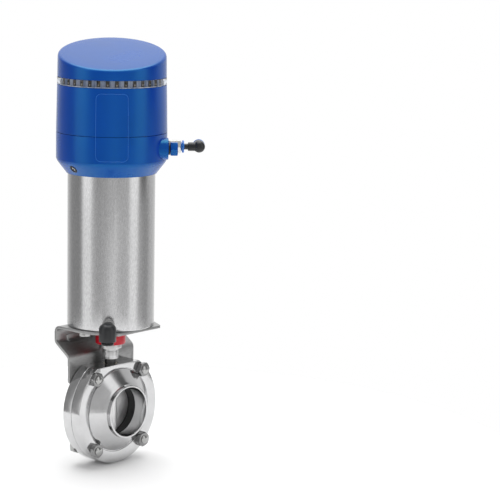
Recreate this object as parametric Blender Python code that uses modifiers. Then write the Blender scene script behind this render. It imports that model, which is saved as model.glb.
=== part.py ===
# Pneumatic butterfly valve: a hygienic 51 mm weld-end butterfly valve, its spring-return
# rotary air actuator in a stainless tube, and the control head that reads the actuator's position.
# Origin: where the stem's axis crosses the pipe's axis. +X along the pipe, +Z up the stem.
# Metres throughout; the sizes below are written in millimetres times MM.

import math

import bpy
import bmesh
from mathutils import Matrix, Vector

MM = 0.001

# Facets and gaps
HEAD_STEPS = 32
LARGE_STEPS = 28
MEDIUM_STEPS = 20
SMALL_STEPS = 12
HOLE_STEPS = 8
SEAT_GAP = 0.3 * MM
RUNNING_GAP = 0.3 * MM
SEAL_GAP = 0.15 * MM
FACET_ALLOWANCE = 0.2 * MM
CUT_MARGIN = 2.0 * MM

# Valve body: two halves clamped round a rubber seal
PIPE_BORE_RADIUS = 24.3 * MM
PIPE_WALL = 1.9 * MM
FLANGE_WIDTH = 29.3 * MM
FLANGE_RADIUS = PIPE_BORE_RADIUS + FLANGE_WIDTH
FLANGE_THICKNESS = 11.15 * MM
FLANGE_CHAMFER = 0.6 * MM
BODY_SPLIT = 0.15 * MM
TOP_FLAT_DEPTH = 8.4 * MM
TOP_FLAT_HEIGHT = FLANGE_RADIUS - TOP_FLAT_DEPTH
FLANGE_FACE_WIDTH = 12.9 * MM
CONE_RADIUS = FLANGE_RADIUS - FLANGE_FACE_WIDTH
CONE_FOOT = 1.0 * MM
CONE_GROOVE_WIDTH = 1.2 * MM
CONE_GROOVE_DEPTH = 0.8 * MM
CONE_TIP_RISE = 2.0 * MM
CONE_LENGTH = 9.2 * MM
CONE_TIP_X = FLANGE_THICKNESS + BODY_SPLIT + CONE_LENGTH
NECK_RISE = 0.4 * MM
NECK_LENGTH = 0.8 * MM
NECK_X = CONE_TIP_X + NECK_LENGTH
PIPE_END_LENGTH = 5.0 * MM
WELD_END_X = NECK_X + PIPE_END_LENGTH
SEAL_COVER = 0.75 * MM
SEAL_HALF_WIDTH = FLANGE_THICKNESS - SEAL_COVER
SEAL_WALL = 9.7 * MM
SEAL_OUTER_RADIUS = PIPE_BORE_RADIUS + SEAL_WALL

# Body bolts
BOLT_INSET = 5.6 * MM
BOLT_ANGLE = math.radians(47.87)
BOLT_Y = (FLANGE_RADIUS - BOLT_INSET) * math.cos(BOLT_ANGLE)
BOLT_Z = (FLANGE_RADIUS - BOLT_INSET) * math.sin(BOLT_ANGLE)
BOLT_RADIUS = 4.0 * MM
BOLT_CLEARANCE = 0.5 * MM
BOLT_SHOWING = 7.1 * MM
BOLT_END_X = FLANGE_THICKNESS + BODY_SPLIT + BOLT_SHOWING
BOLT_DOME = 0.9 * MM
BOLT_POINT = 1.4 * MM
BOLT_HEAD_HEIGHT = 5.3 * MM
HEX_ACROSS_FLATS = 13.0 * MM
NUT_HEIGHT = 4.8 * MM

# Disc and its stem
DISC_CLEARANCE = 0.3 * MM
DISC_RADIUS = PIPE_BORE_RADIUS - DISC_CLEARANCE
DISC_RIM_THICKNESS = 3.0 * MM
DISC_HUB_THICKNESS = 9.0 * MM
DISC_EDGE_WIDTH = 5.0 * MM
DISC_WEB_RISE = 0.6 * MM
HUB_RADIUS = 7.0 * MM
HUB_CLEARANCE = 2.0 * MM
HUB_HALF_HEIGHT = PIPE_BORE_RADIUS - HUB_CLEARANCE
STEM_RADIUS = 5.5 * MM
STEM_SHOULDER_RISE = 4.4 * MM
STEM_SHOULDER_Z = TOP_FLAT_HEIGHT + STEM_SHOULDER_RISE
STEM_SQUARE = 8.0 * MM
PIVOT_IN_BODY = 4.8 * MM
PIVOT_LENGTH = SEAL_OUTER_RADIUS + PIVOT_IN_BODY - HUB_HALF_HEIGHT
BUSH_WALL = 1.5 * MM
LOWER_BUSH_LENGTH = 3.4 * MM
STEM_RING_SHARE = 0.24

# Mounting bracket, bent from stainless sheet
SHEET = 2.5 * MM
TUBE_RADIUS = 42.5 * MM
BRACKET_TUBE_MARGIN = 2.0 * MM
BRACKET_BOLT_MARGIN = 12.3 * MM
BRACKET_HALF_WIDTH = max(TUBE_RADIUS + BRACKET_TUBE_MARGIN, BOLT_Y + BRACKET_BOLT_MARGIN)
BRACKET_RISE = 39.2 * MM
BRACKET_TOP_Z = TOP_FLAT_HEIGHT + BRACKET_RISE
BRACKET_FRONT_SETBACK = 2.5 * MM
BRACKET_FRONT_X = TUBE_RADIUS - BRACKET_FRONT_SETBACK
BRACKET_BACK_SETBACK = 9.9 * MM
BRACKET_BACK_X = -(TUBE_RADIUS - BRACKET_BACK_SETBACK)
BRACKET_NOSE_SETBACK = 13.0 * MM
BRACKET_NOSE_HALF_WIDTH = TUBE_RADIUS - BRACKET_NOSE_SETBACK
BRACKET_NOSE_START_X = 11.0 * MM
BRACKET_BACK_HEIGHT = 16.2 * MM
BRACKET_JOG_TOP_Z = BRACKET_TOP_Z - BRACKET_BACK_HEIGHT
BRACKET_JOG_HEIGHT = 13.2 * MM
BRACKET_JOG_BOTTOM_Z = BRACKET_JOG_TOP_Z - BRACKET_JOG_HEIGHT
BRACKET_LEG_BELOW_BOLT = 9.6 * MM
BRACKET_LEG_BOTTOM_Z = BOLT_Z - BRACKET_LEG_BELOW_BOLT
BRACKET_BEND_RADIUS = 5.0 * MM
BRACKET_CORNER_RADIUS = 4.5 * MM
BRACKET_SLOT_Y = 29.4 * MM
BRACKET_SLOT_DROP = 14.6 * MM
BRACKET_SLOT_Z = BRACKET_TOP_Z - BRACKET_SLOT_DROP
BRACKET_SLOT_SIZE = (2.0 * MM, 6.0 * MM)
BRACKET_SCREW_INSET = 7.0 * MM
BRACKET_SCREW_Y = TUBE_RADIUS - BRACKET_SCREW_INSET
BRACKET_SCREW_RADIUS = 3.0 * MM
BRACKET_SCREW_LENGTH = 9.0 * MM
BRACKET_SCREW_HEAD_HEIGHT = 4.2 * MM
BRACKET_SCREW_ACROSS_FLATS = 10.0 * MM

# Coupling between valve stem and actuator shaft, with the position indicator
COUPLING_RADIUS = 7.85 * MM
COUPLING_SEAT_RISE = 0.5 * MM
COUPLING_BOTTOM_Z = STEM_SHOULDER_Z + COUPLING_SEAT_RISE
COUPLING_TOP_DROP = 3.5 * MM
COUPLING_TOP_Z = BRACKET_TOP_Z - COUPLING_TOP_DROP
COLLAR_RADIUS = 11.0 * MM
COLLAR_BELOW_TOP = 20.2 * MM
COLLAR_HEIGHT = 4.4 * MM
INDICATOR_RADIUS = 14.8 * MM
INDICATOR_HEIGHT = 14.6 * MM
INDICATOR_TOP_EDGE = 0.5 * MM
INDICATOR_LOW_EDGE = 0.8 * MM
STEM_SOCKET_SHARE = 0.386
SHAFT_SQUARE = 9.0 * MM
SHAFT_SOCKET_SHARE = 0.455

# Actuator tube and caps
TUBE_WALL = 2.0 * MM
TUBE_HEIGHT = 155.6 * MM
TUBE_TOP_Z = BRACKET_TOP_Z + TUBE_HEIGHT
BOTTOM_CAP_HEIGHT = 16.0 * MM
TOP_CAP_HEIGHT = 12.0 * MM
SPIGOT_RADIUS = 15.0 * MM
CAP_HUB_RADIUS = 16.2 * MM
CAP_HUB_HEIGHT = 13.0 * MM
STOP_RIB_RADIUS = 24.5 * MM
STOP_RIB_WIDTH = 3.5 * MM
STOP_RIB_HEIGHT = 3.8 * MM
CAP_GROOVE_DEPTH = 2.2 * MM
CAP_GROOVE_HEIGHT = 2.4 * MM
BOTTOM_GROOVE_TOP = 0.9 * MM

# Rotary mechanism: a cross pin on the piston runs in straight slots and in helical slots
STROKE = 30.0 * MM
QUARTER_TURN = math.radians(90)
SHAFT_RADIUS = 8.0 * MM
SHAFT_BUSH_WALL = 1.7 * MM
SHAFT_SEAL_HEIGHT = 3.0 * MM
THRUST_WASHER_HEIGHT = 2.4 * MM
CAM_RADIUS = 14.0 * MM
CAM_WALL = 3.0 * MM
CAM_FLOOR = 4.0 * MM
CAM_HEIGHT = 84.0 * MM
CAM_SLOT_STEPS = 10
GUIDE_RADIUS = 19.0 * MM
GUIDE_WALL = 2.5 * MM
PIN_RADIUS = 3.5 * MM
PIN_REST_RISE = 57.6 * MM
PIN_REST_Z = BRACKET_TOP_Z + PIN_REST_RISE
PISTON_CROWN_HEIGHT = 12.0 * MM
PISTON_HUB_RADIUS = 25.0 * MM
PISTON_HUB_ABOVE_PIN = 8.0 * MM
PISTON_BORE_GAP = 0.3 * MM
RING_GROOVE_DEPTH = 3.0 * MM
RING_GROOVE_HEIGHT = 3.4 * MM
INNER_GROOVE_DEPTH = 2.4 * MM
INNER_GROOVE_RISE = 3.0 * MM
SPRING_WIRE_RADIUS = 2.6 * MM
SPRING_RADIUS = (PISTON_HUB_RADIUS + TUBE_RADIUS - TUBE_WALL) / 2
SPRING_TURNS = 6.0
SPRING_CLOSED_TURNS = 0.9
SPRING_POINTS_PER_TURN = 9
UPPER_BUSH_HEIGHT = 10.0 * MM

# Position target on the cam's top end
TARGET_STEM_RADIUS = 3.0 * MM
TARGET_PLUG_HEIGHT = 6.0 * MM
TARGET_HEAD_RADIUS = 7.0 * MM
TARGET_HEAD_HEIGHT = 8.0 * MM
TARGET_RISE = 26.0 * MM
TARGET_TOP_Z = TUBE_TOP_Z + TARGET_RISE

# Control head. Its front and its ports are turned against the pipe.
HEAD_TURN = math.radians(45)
HEAD_RADIUS = 53.7 * MM
HEAD_TAPER = 0.9 * MM
HEAD_SHOULDER_RADIUS = HEAD_RADIUS - HEAD_TAPER
COVER_TAPER = 0.8 * MM
HEAD_CROWN_RADIUS = HEAD_SHOULDER_RADIUS - COVER_TAPER
HEAD_WALL = 3.0 * MM
ADAPTER_OVERLAP = 5.4 * MM
ADAPTER_BOTTOM_Z = TUBE_TOP_Z - ADAPTER_OVERLAP
ADAPTER_FOOT_WALL = 1.2 * MM
ADAPTER_RISE = 8.6 * MM
ADAPTER_TOP_Z = TUBE_TOP_Z + ADAPTER_RISE
ADAPTER_SIDE_SHARES = ((1.0, 1.0), (0.907, 0.843), (0.722, 0.657), (0.278, 0.271), (0.0, 0.0))
HEAD_WELL_RADIUS = 12.0 * MM
SEAM_RISE = 25.7 * MM
SEAM_Z = ADAPTER_TOP_Z + SEAM_RISE
SEAM_GAP = 0.4 * MM
UPPER_HOUSING_HEIGHT = 45.8 * MM
UPPER_HOUSING_TOP_Z = SEAM_Z + UPPER_HOUSING_HEIGHT
HEAD_FLANGE_WIDTH = 9.7 * MM
HEAD_FLANGE_RADIUS = HEAD_RADIUS - HEAD_FLANGE_WIDTH
LIGHT_RING_HEIGHT = 7.0 * MM
LIGHT_RING_TOP_Z = UPPER_HOUSING_TOP_Z + LIGHT_RING_HEIGHT
LIGHT_RING_WALL = 2.8 * MM
WINDOW_COUNT = 36
WINDOW_WIDTH = 4.0 * MM
WINDOW_DEPTH = 1.8 * MM
WINDOW_HEIGHT = 5.8 * MM
LED_RING_WALL = 3.0 * MM
COVER_TILT = math.radians(13.3)
COVER_CENTRE_RISE = 22.5 * MM
COVER_CENTRE_Z = LIGHT_RING_TOP_Z + COVER_CENTRE_RISE
COVER_BLANK_RISE = 25.4 * MM
COVER_BLANK_TOP_Z = COVER_CENTRE_Z + COVER_BLANK_RISE
COVER_BLANK_SKIRT = 15.0 * MM
COVER_RIM_RADIUS = 3.4 * MM
PANEL_WIDTH = 31.0 * MM
PANEL_BOTTOM_RISE = 2.6 * MM
PANEL_BOTTOM_Z = ADAPTER_TOP_Z + PANEL_BOTTOM_RISE
PANEL_TOP_DROP = 5.0 * MM
PANEL_TOP_Z = UPPER_HOUSING_TOP_Z - PANEL_TOP_DROP
PANEL_CORNER = 5.0 * MM
PANEL_PROUD = 0.4 * MM
BOARD_LEDGE_RISE = 23.7 * MM
BOARD_LEDGE_Z = SEAM_Z + BOARD_LEDGE_RISE
BOARD_LEDGE_HEIGHT = 3.0 * MM
BOARD_LEDGE_WIDTH = 7.7 * MM
BOARD_LEDGE_RADIUS = HEAD_RADIUS - BOARD_LEDGE_WIDTH
BOARD_THICKNESS = 1.6 * MM
SOLENOID_SIZE = (30.0 * MM, 16.0 * MM, 34.0 * MM)
SOLENOID_EDGE = 1.0 * MM
SOLENOID_Y = 27.0 * MM

# Clamp screw in the adapter's sloping side
ADAPTER_SCREW_ANGLE = math.radians(-138)
ADAPTER_SCREW_PROUD = 0.4 * MM
ADAPTER_SCREW_RADIUS = 2.1 * MM
ADAPTER_SCREW_SHANK_RADIUS = 1.4 * MM
ADAPTER_SCREW_DEPTH = 2.8 * MM
ADAPTER_SOCKET_WIDTH = 2.0 * MM
ADAPTER_SOCKET_FLOOR = 0.2 * MM
SCREW_RING_RADIUS = 4.0 * MM
SCREW_RING_HEIGHT = 1.2 * MM
SCREW_RING_PROUD = 0.3 * MM

# Air elbow on the actuator
TUBE_PORT_ANGLE = math.radians(-48)
TUBE_PORT_RISE = 6.6 * MM
TUBE_PORT_Z = BRACKET_TOP_Z + TUBE_PORT_RISE
TUBE_PORT_THREAD_RADIUS = 4.8 * MM
TUBE_PORT_DEPTH = 11.5 * MM
TUBE_PORT_START = TUBE_RADIUS - TUBE_PORT_DEPTH
ACTUATOR_ELBOW_RADIUS = 8.0 * MM
ACTUATOR_ELBOW_STANDOFF = 15.1 * MM
ACTUATOR_ELBOW_REACH = TUBE_RADIUS + ACTUATOR_ELBOW_STANDOFF
ACTUATOR_ELBOW_LEG = 12.2 * MM
STUD_COLLAR_RADIUS = 6.2 * MM
STUD_SPIGOT_RADIUS = 4.0 * MM
STUD_SPIGOT_WALL = 1.3 * MM
AIR_WAY_RADIUS = 1.8 * MM
RISER_RADIUS = 2.0 * MM
RISER_INSET = 8.5 * MM
RISER_DISTANCE = TUBE_RADIUS - RISER_INSET
AIR_HOSE_RADIUS = 3.0 * MM

# Ports on the head's right-hand side
PORT_RISE = 11.4 * MM
PORT_Z = ADAPTER_TOP_Z + PORT_RISE
PORT_FACE_PROUD = 0.5 * MM
PORT_FACE = HEAD_RADIUS + PORT_FACE_PROUD
PORT_THREAD_DEPTH = 8.2 * MM
PORT_THREAD_START = HEAD_RADIUS - PORT_THREAD_DEPTH
GLAND_BOSS_DEPTH = 11.7 * MM
GLAND_BOSS_START = HEAD_RADIUS - GLAND_BOSS_DEPTH
GLAND_Y = -19.0 * MM
GLAND_BOSS_RADIUS = 10.5 * MM
SUPPLY_Y = 0.0 * MM
SUPPLY_BOSS_RADIUS = 8.0 * MM
GLAND_ACROSS_FLATS = 12.6 * MM
GLAND_THREAD_RADIUS = 4.8 * MM
GLAND_BORE_RADIUS = 3.2 * MM
GLAND_COLLAR_RADIUS = 6.0 * MM
GLAND_COLLAR_LENGTH = 1.4 * MM
GLAND_THREAD_IN_NUT = 3.0 * MM
GLAND_NUT_LENGTH = 7.1 * MM
SUPPLY_HEX_START = PORT_FACE + SEAT_GAP
SUPPLY_HEX_LENGTH = 12.2 * MM
SUPPLY_HEX_END = SUPPLY_HEX_START + SUPPLY_HEX_LENGTH
SUPPLY_ACROSS_FLATS = 12.0 * MM
SUPPLY_THREAD_RADIUS = 4.6 * MM
PLUG_STEM_SETBACK = 3.5 * MM
PLUG_STEM_START = SUPPLY_HEX_START + PLUG_STEM_SETBACK
PLUG_STEM_SHOWING = 7.1 * MM
PLUG_KNUCKLE_START = SUPPLY_HEX_END + PLUG_STEM_SHOWING
PLUG_KNUCKLE_RADIUS = 4.2 * MM
PLUG_ELBOW_RADIUS = 5.8 * MM
PLUG_KNUCKLE_LENGTH = 10.8 * MM
PLUG_ELBOW_REACH = PLUG_KNUCKLE_START + PLUG_KNUCKLE_LENGTH
PLUG_ELBOW_LEG = 8.5 * MM

# Push-in release rings
RELEASE_RING_THICKNESS = 1.9 * MM
RELEASE_RING_STANDOFF = 1.3 * MM
RELEASE_SLEEVE_WALL = 1.0 * MM
RELEASE_SLEEVE_LENGTH = 3.4 * MM
RELEASE_LIP = 1.85 * MM
FITTING_EDGE = 0.4 * MM

COLOURS = {
    "steel": ((0.62, 0.62, 0.61), 0.30, 1.0),
    "tube_steel": ((0.55, 0.55, 0.54), 0.38, 1.0),
    "sheet_steel": ((0.48, 0.47, 0.46), 0.25, 1.0),
    "bolt_steel": ((0.60, 0.60, 0.58), 0.35, 1.0),
    "seal_rubber": ((0.02, 0.02, 0.02), 0.60, 0.0),
    "bush_plastic": ((0.75, 0.72, 0.62), 0.50, 0.0),
    "indicator_red": ((0.60, 0.02, 0.03), 0.40, 0.0),
    "aluminium": ((0.66, 0.67, 0.68), 0.40, 1.0),
    "spring_steel": ((0.30, 0.30, 0.31), 0.45, 1.0),
    "head_blue": ((0.01, 0.09, 0.38), 0.45, 0.0),
    "clear_lens": ((0.75, 0.74, 0.70), 0.20, 0.0),
    "led_dark": ((0.10, 0.09, 0.06), 0.40, 0.0),
    "board_green": ((0.02, 0.16, 0.07), 0.50, 0.0),
    "black_plastic": ((0.02, 0.02, 0.025), 0.45, 0.0),
    "release_blue": ((0.05, 0.22, 0.75), 0.40, 0.0),
    "nickel": ((0.70, 0.69, 0.65), 0.20, 1.0),
}


def clear_scene():
    for obj in list(bpy.data.objects):
        bpy.data.objects.remove(obj, do_unlink=True)


def new_collection(name):
    collection = bpy.data.collections.new(name)
    bpy.context.scene.collection.children.link(collection)
    return collection


def look(name):
    """One Principled material per kind of surface, made on first use."""
    material = bpy.data.materials.get(name)
    if material is None:
        colour, roughness, metallic = COLOURS[name]
        material = bpy.data.materials.new(name)
        material.use_nodes = True
        shader = material.node_tree.nodes["Principled BSDF"]
        shader.inputs["Base Color"].default_value = (*colour, 1.0)
        shader.inputs["Roughness"].default_value = roughness
        shader.inputs["Metallic"].default_value = metallic
    return material


clear_scene()
PARTS = new_collection("pneumatic_butterfly_valve")
CUTTERS = new_collection("cutters")


def add_object(name, mesh, material=None, parent=None):
    """A part when it has a material, otherwise a cutter that only shapes parts."""
    obj = bpy.data.objects.new(name, mesh)
    if material:
        PARTS.objects.link(obj)
        mesh.materials.append(look(material))
    else:
        CUTTERS.objects.link(obj)
        obj.hide_render = True
        obj.display_type = "WIRE"
    obj.parent = parent
    return obj


def axis_empty(name, origin=(0, 0, 0), out=(0, 0, 1), side=(1, 0, 0)):
    """An empty whose Z axis points along `out` and whose X axis points along `side`."""
    empty = bpy.data.objects.new(name, None)
    PARTS.objects.link(empty)
    z_axis = Vector(out).normalized()
    x_axis = Vector(side).normalized()
    y_axis = z_axis.cross(x_axis)
    empty.matrix_world = Matrix.Translation(origin) @ Matrix((x_axis, y_axis, z_axis)).transposed().to_4x4()
    return empty


def turned(name, profile, material=None, parent=None, steps=MEDIUM_STEPS, closed=True):
    """Turn a profile of (radius, z) points, listed down the outer side, round the Z axis."""
    mesh = bpy.data.meshes.new(name)
    edges = [(i, i + 1) for i in range(len(profile) - 1)]
    if closed:
        edges.append((len(profile) - 1, 0))
    mesh.from_pydata([(radius, 0, z) for radius, z in profile], edges, [])
    obj = add_object(name, mesh, material, parent)
    screw = obj.modifiers.new("turn", "SCREW")
    screw.axis = "Z"
    screw.angle = 2 * math.pi
    screw.steps = steps
    screw.render_steps = steps
    screw.use_merge_vertices = True
    screw.merge_threshold = 0.00001
    return obj


def ring(name, inner, outer, bottom, top, material=None, parent=None, steps=MEDIUM_STEPS):
    profile = [(outer, top), (outer, bottom), (inner, bottom), (inner, top)]
    return turned(name, profile, material, parent, steps)


def rod(name, radius, bottom, top, material=None, parent=None, steps=SMALL_STEPS, turn=0.0):
    """A solid bar along Z with `steps` sides."""
    mesh = bpy.data.meshes.new(name)
    shape = bmesh.new()
    place = Matrix.Translation((0, 0, (bottom + top) / 2)) @ Matrix.Rotation(turn, 4, "Z")
    bmesh.ops.create_cone(shape, cap_ends=True, segments=steps, radius1=radius, radius2=radius,
                          depth=top - bottom, matrix=place)
    shape.to_mesh(mesh)
    shape.free()
    return add_object(name, mesh, material, parent)


def hexagon(name, across_flats, bottom, top, material=None, parent=None):
    return rod(name, across_flats / 2 / math.cos(math.pi / 6), bottom, top, material, parent, 6, math.pi / 6)


def square_bar(name, across_flats, bottom, top, material=None, parent=None):
    return rod(name, across_flats / 2 / math.cos(math.pi / 4), bottom, top, material, parent, 4, math.pi / 4)


def box(name, low, high, material=None, parent=None):
    """A box between two opposite corners."""
    mesh = bpy.data.meshes.new(name)
    shape = bmesh.new()
    bmesh.ops.create_cube(shape, size=1.0)
    bmesh.ops.scale(shape, vec=[b - a for a, b in zip(low, high)], verts=shape.verts)
    bmesh.ops.translate(shape, vec=[(a + b) / 2 for a, b in zip(low, high)], verts=shape.verts)
    shape.to_mesh(mesh)
    shape.free()
    return add_object(name, mesh, material, parent)


def baked(obj):
    """The object's evaluated mesh, with loose curve caps welded."""
    graph = bpy.context.evaluated_depsgraph_get()
    mesh = bpy.data.meshes.new_from_object(obj.evaluated_get(graph))
    shape = bmesh.new()
    shape.from_mesh(mesh)
    bmesh.ops.remove_doubles(shape, verts=shape.verts, dist=0.000001)
    bmesh.ops.recalc_face_normals(shape, faces=shape.faces)
    shape.to_mesh(mesh)
    shape.free()
    return mesh


def plate(name, outlines, thickness, material=None, parent=None):
    """A flat piece from closed outlines in the XY plane, centred on Z = 0; later outlines are holes."""
    curve = bpy.data.curves.new(name + "_outline", "CURVE")
    curve.dimensions = "2D"
    curve.fill_mode = "BOTH"
    curve.extrude = thickness / 2
    for outline in outlines:
        spline = curve.splines.new("POLY")
        spline.points.add(len(outline) - 1)
        for point, (x, y) in zip(spline.points, outline):
            point.co = (x, y, 0, 1)
        spline.use_cyclic_u = True
    drawn = bpy.data.objects.new(name + "_outline", curve)
    CUTTERS.objects.link(drawn)
    mesh = baked(drawn)
    mesh.name = name
    bpy.data.objects.remove(drawn)
    return add_object(name, mesh, material, parent)


def combine(obj, other, operation="DIFFERENCE"):
    """Shape an object by a cutter with a Boolean modifier."""
    boolean = obj.modifiers.new(operation.lower(), "BOOLEAN")
    boolean.operation = operation
    boolean.solver = "EXACT"
    boolean.object = other
    return obj


def cut(obj, *cutters):
    for cutter in cutters:
        combine(obj, cutter)
    return obj


def join(obj, *others):
    for other in others:
        combine(obj, other, "UNION")
    return obj


def aim_along_x(obj, x=0.0, y=0.0, z=0.0):
    """Lay an object that was made along Z so that it points along +X."""
    obj.rotation_euler = (0, math.radians(90), 0)
    obj.location = (x, y, z)
    return obj


def arc_points(centre, radius, start_degrees, end_degrees, count):
    """Points on an arc, both ends included."""
    points = []
    for i in range(count):
        angle = math.radians(start_degrees + (end_degrees - start_degrees) * i / (count - 1))
        points.append((centre[0] + radius * math.cos(angle), centre[1] + radius * math.sin(angle)))
    return points


def filleted(corners, steps=4, closed=True):
    """Round an outline's corners. Each corner is (x, y, radius)."""
    points = []
    count = len(corners)
    for i, (x, y, radius) in enumerate(corners):
        here = Vector((x, y))
        if radius == 0 or (not closed and i in (0, count - 1)):
            points.append((x, y))
            continue
        before = (Vector(corners[i - 1][:2]) - here).normalized()
        after = (Vector(corners[(i + 1) % count][:2]) - here).normalized()
        half = before.angle(after) / 2
        tangent = radius / math.tan(half)
        centre = here + (before + after).normalized() * radius / math.sin(half)
        first = here + before * tangent - centre
        last = here + after * tangent - centre
        sweep = first.angle_signed(last)
        for step in range(steps + 1):
            turn = Matrix.Rotation(-sweep * step / steps, 2)
            points.append(tuple(centre + turn @ first))
    return points


# Valve body

def body_half_profile():
    """Half of the body as (radius, distance from the split plane), pipe end on top."""
    pipe_radius = PIPE_BORE_RADIUS + PIPE_WALL
    face = FLANGE_THICKNESS + BODY_SPLIT
    groove_radius = CONE_RADIUS + CONE_GROOVE_WIDTH
    return [
        (pipe_radius, WELD_END_X),
        (pipe_radius + NECK_RISE, NECK_X),
        (pipe_radius + CONE_TIP_RISE, CONE_TIP_X),
        (CONE_RADIUS, face + CONE_FOOT),
        (CONE_RADIUS, face - CONE_GROOVE_DEPTH),
        (groove_radius, face - CONE_GROOVE_DEPTH),
        (groove_radius, face),
        (FLANGE_RADIUS - FLANGE_CHAMFER, face),
        (FLANGE_RADIUS, face - FLANGE_CHAMFER),
        (FLANGE_RADIUS, BODY_SPLIT),
        (SEAL_OUTER_RADIUS + SEAT_GAP, BODY_SPLIT),
        (SEAL_OUTER_RADIUS + SEAT_GAP, SEAL_HALF_WIDTH + SEAT_GAP),
        (PIPE_BORE_RADIUS, SEAL_HALF_WIDTH + SEAT_GAP),
        (PIPE_BORE_RADIUS, WELD_END_X),
    ]


def bolt_places():
    return [(side * BOLT_Y, level * BOLT_Z, place, level > 0)
            for side, level, place in ((-1, 1, "upper_left"), (1, 1, "upper_right"),
                                       (-1, -1, "lower_left"), (1, -1, "lower_right"))]


def build_body_halves():
    bush_hole = STEM_RADIUS + RUNNING_GAP + BUSH_WALL + SEAL_GAP
    pivot_depth = -(HUB_HALF_HEIGHT + PIVOT_LENGTH + RUNNING_GAP)
    flat_cutter = box("top_flat_cutter", (-2 * FLANGE_RADIUS, -2 * FLANGE_RADIUS, TOP_FLAT_HEIGHT),
                      (2 * FLANGE_RADIUS, 2 * FLANGE_RADIUS, 2 * FLANGE_RADIUS))
    stem_cutter = rod("stem_hole_cutter", bush_hole, SEAL_OUTER_RADIUS - CUT_MARGIN,
                      TOP_FLAT_HEIGHT + CUT_MARGIN)
    pivot_cutter = rod("pivot_hole_cutter", bush_hole, pivot_depth, -SEAL_OUTER_RADIUS + CUT_MARGIN)
    bolt_cutters = []
    for y, z, place, _upper in bolt_places():
        cutter = rod("bolt_hole_cutter_" + place, BOLT_RADIUS + BOLT_CLEARANCE, -BOLT_END_X, BOLT_END_X,
                     steps=HOLE_STEPS)
        bolt_cutters.append(aim_along_x(cutter, 0, y, z))
    for name, side in (("front_body_half", 1), ("back_body_half", -1)):
        half = turned(name, body_half_profile(), "steel", steps=LARGE_STEPS)
        half.rotation_euler = (0, side * math.radians(90), 0)
        cut(half, flat_cutter, stem_cutter, pivot_cutter, *bolt_cutters)


def build_body_seal():
    seal = ring("seat_seal", PIPE_BORE_RADIUS, SEAL_OUTER_RADIUS, -SEAL_HALF_WIDTH, SEAL_HALF_WIDTH,
                "seal_rubber", steps=LARGE_STEPS)
    aim_along_x(seal)
    hole = STEM_RADIUS + RUNNING_GAP
    cut(seal, rod("seal_stem_cutter", hole, -2 * SEAL_OUTER_RADIUS, 2 * SEAL_OUTER_RADIUS))


def build_stem_bearings():
    inner = STEM_RADIUS + RUNNING_GAP
    outer = inner + BUSH_WALL
    ring_bottom = SEAL_OUTER_RADIUS + 2 * SEAT_GAP
    bush_top = TOP_FLAT_HEIGHT - SEAT_GAP
    ring_top = ring_bottom + STEM_RING_SHARE * (bush_top - ring_bottom)
    ring("stem_o_ring", inner, outer, ring_bottom, ring_top, "seal_rubber", steps=SMALL_STEPS)
    ring("upper_stem_bush", inner, outer, ring_top + SEAT_GAP, bush_top, "bush_plastic", steps=SMALL_STEPS)
    lower_top = -(SEAL_OUTER_RADIUS - SEAT_GAP) - 2 * SEAT_GAP
    lower_bottom = -(HUB_HALF_HEIGHT + PIVOT_LENGTH) + SEAT_GAP
    bottom = max(lower_bottom, lower_top - LOWER_BUSH_LENGTH)
    ring("lower_stem_bush", inner, outer, bottom, lower_top, "bush_plastic", steps=SMALL_STEPS)


def build_bolts():
    face = FLANGE_THICKNESS + BODY_SPLIT + SEAT_GAP
    for y, z, place, upper in bolt_places():
        seat = -face - (SHEET + SEAT_GAP if upper else 0)
        bolt = hexagon("bolt_" + place, HEX_ACROSS_FLATS, seat - BOLT_HEAD_HEIGHT, seat, "bolt_steel")
        shank_profile = [(0, BOLT_END_X), (BOLT_RADIUS - BOLT_POINT, BOLT_END_X - BOLT_DOME / 4),
                         (BOLT_RADIUS, BOLT_END_X - BOLT_DOME), (BOLT_RADIUS, seat - BOLT_HEAD_HEIGHT / 2),
                         (0, seat - BOLT_HEAD_HEIGHT / 2)]
        shank = turned("bolt_shank_" + place, shank_profile, steps=SMALL_STEPS, closed=False)
        join(bolt, aim_along_x(shank, 0, y, z))
        aim_along_x(bolt, 0, y, z)
        nut = hexagon("nut_" + place, HEX_ACROSS_FLATS, face, face + NUT_HEIGHT, "bolt_steel")
        aim_along_x(nut, 0, y, z)
        cutter = rod("nut_hole_cutter_" + place, BOLT_RADIUS + BOLT_CLEARANCE, 0, 2 * BOLT_END_X, steps=HOLE_STEPS)
        cut(nut, aim_along_x(cutter, 0, y, z))


# Disc, coupling and indicator: everything that turns with the valve stem

def build_disc(turning):
    rim = DISC_RIM_THICKNESS / 2
    hub = DISC_HUB_THICKNESS / 2
    web = rim + DISC_WEB_RISE
    faces = [(0, hub), (HUB_RADIUS, hub), (DISC_RADIUS - DISC_EDGE_WIDTH, web), (DISC_RADIUS, rim),
             (DISC_RADIUS, -rim), (DISC_RADIUS - DISC_EDGE_WIDTH, -web), (HUB_RADIUS, -hub), (0, -hub)]
    disc = turned("disc", faces, "steel", turning, closed=False)
    aim_along_x(disc)
    stem_profile = [(0, STEM_SHOULDER_Z), (STEM_RADIUS, STEM_SHOULDER_Z), (STEM_RADIUS, HUB_HALF_HEIGHT),
                    (HUB_RADIUS, HUB_HALF_HEIGHT), (HUB_RADIUS, -HUB_HALF_HEIGHT),
                    (STEM_RADIUS, -HUB_HALF_HEIGHT), (STEM_RADIUS, -HUB_HALF_HEIGHT - PIVOT_LENGTH),
                    (0, -HUB_HALF_HEIGHT - PIVOT_LENGTH)]
    stem = turned("disc_stem", stem_profile, parent=turning, steps=SMALL_STEPS, closed=False)
    square = square_bar("disc_square", STEM_SQUARE, STEM_SHOULDER_Z - CUT_MARGIN, stem_square_top(), parent=turning)
    join(disc, stem, square)


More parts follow.
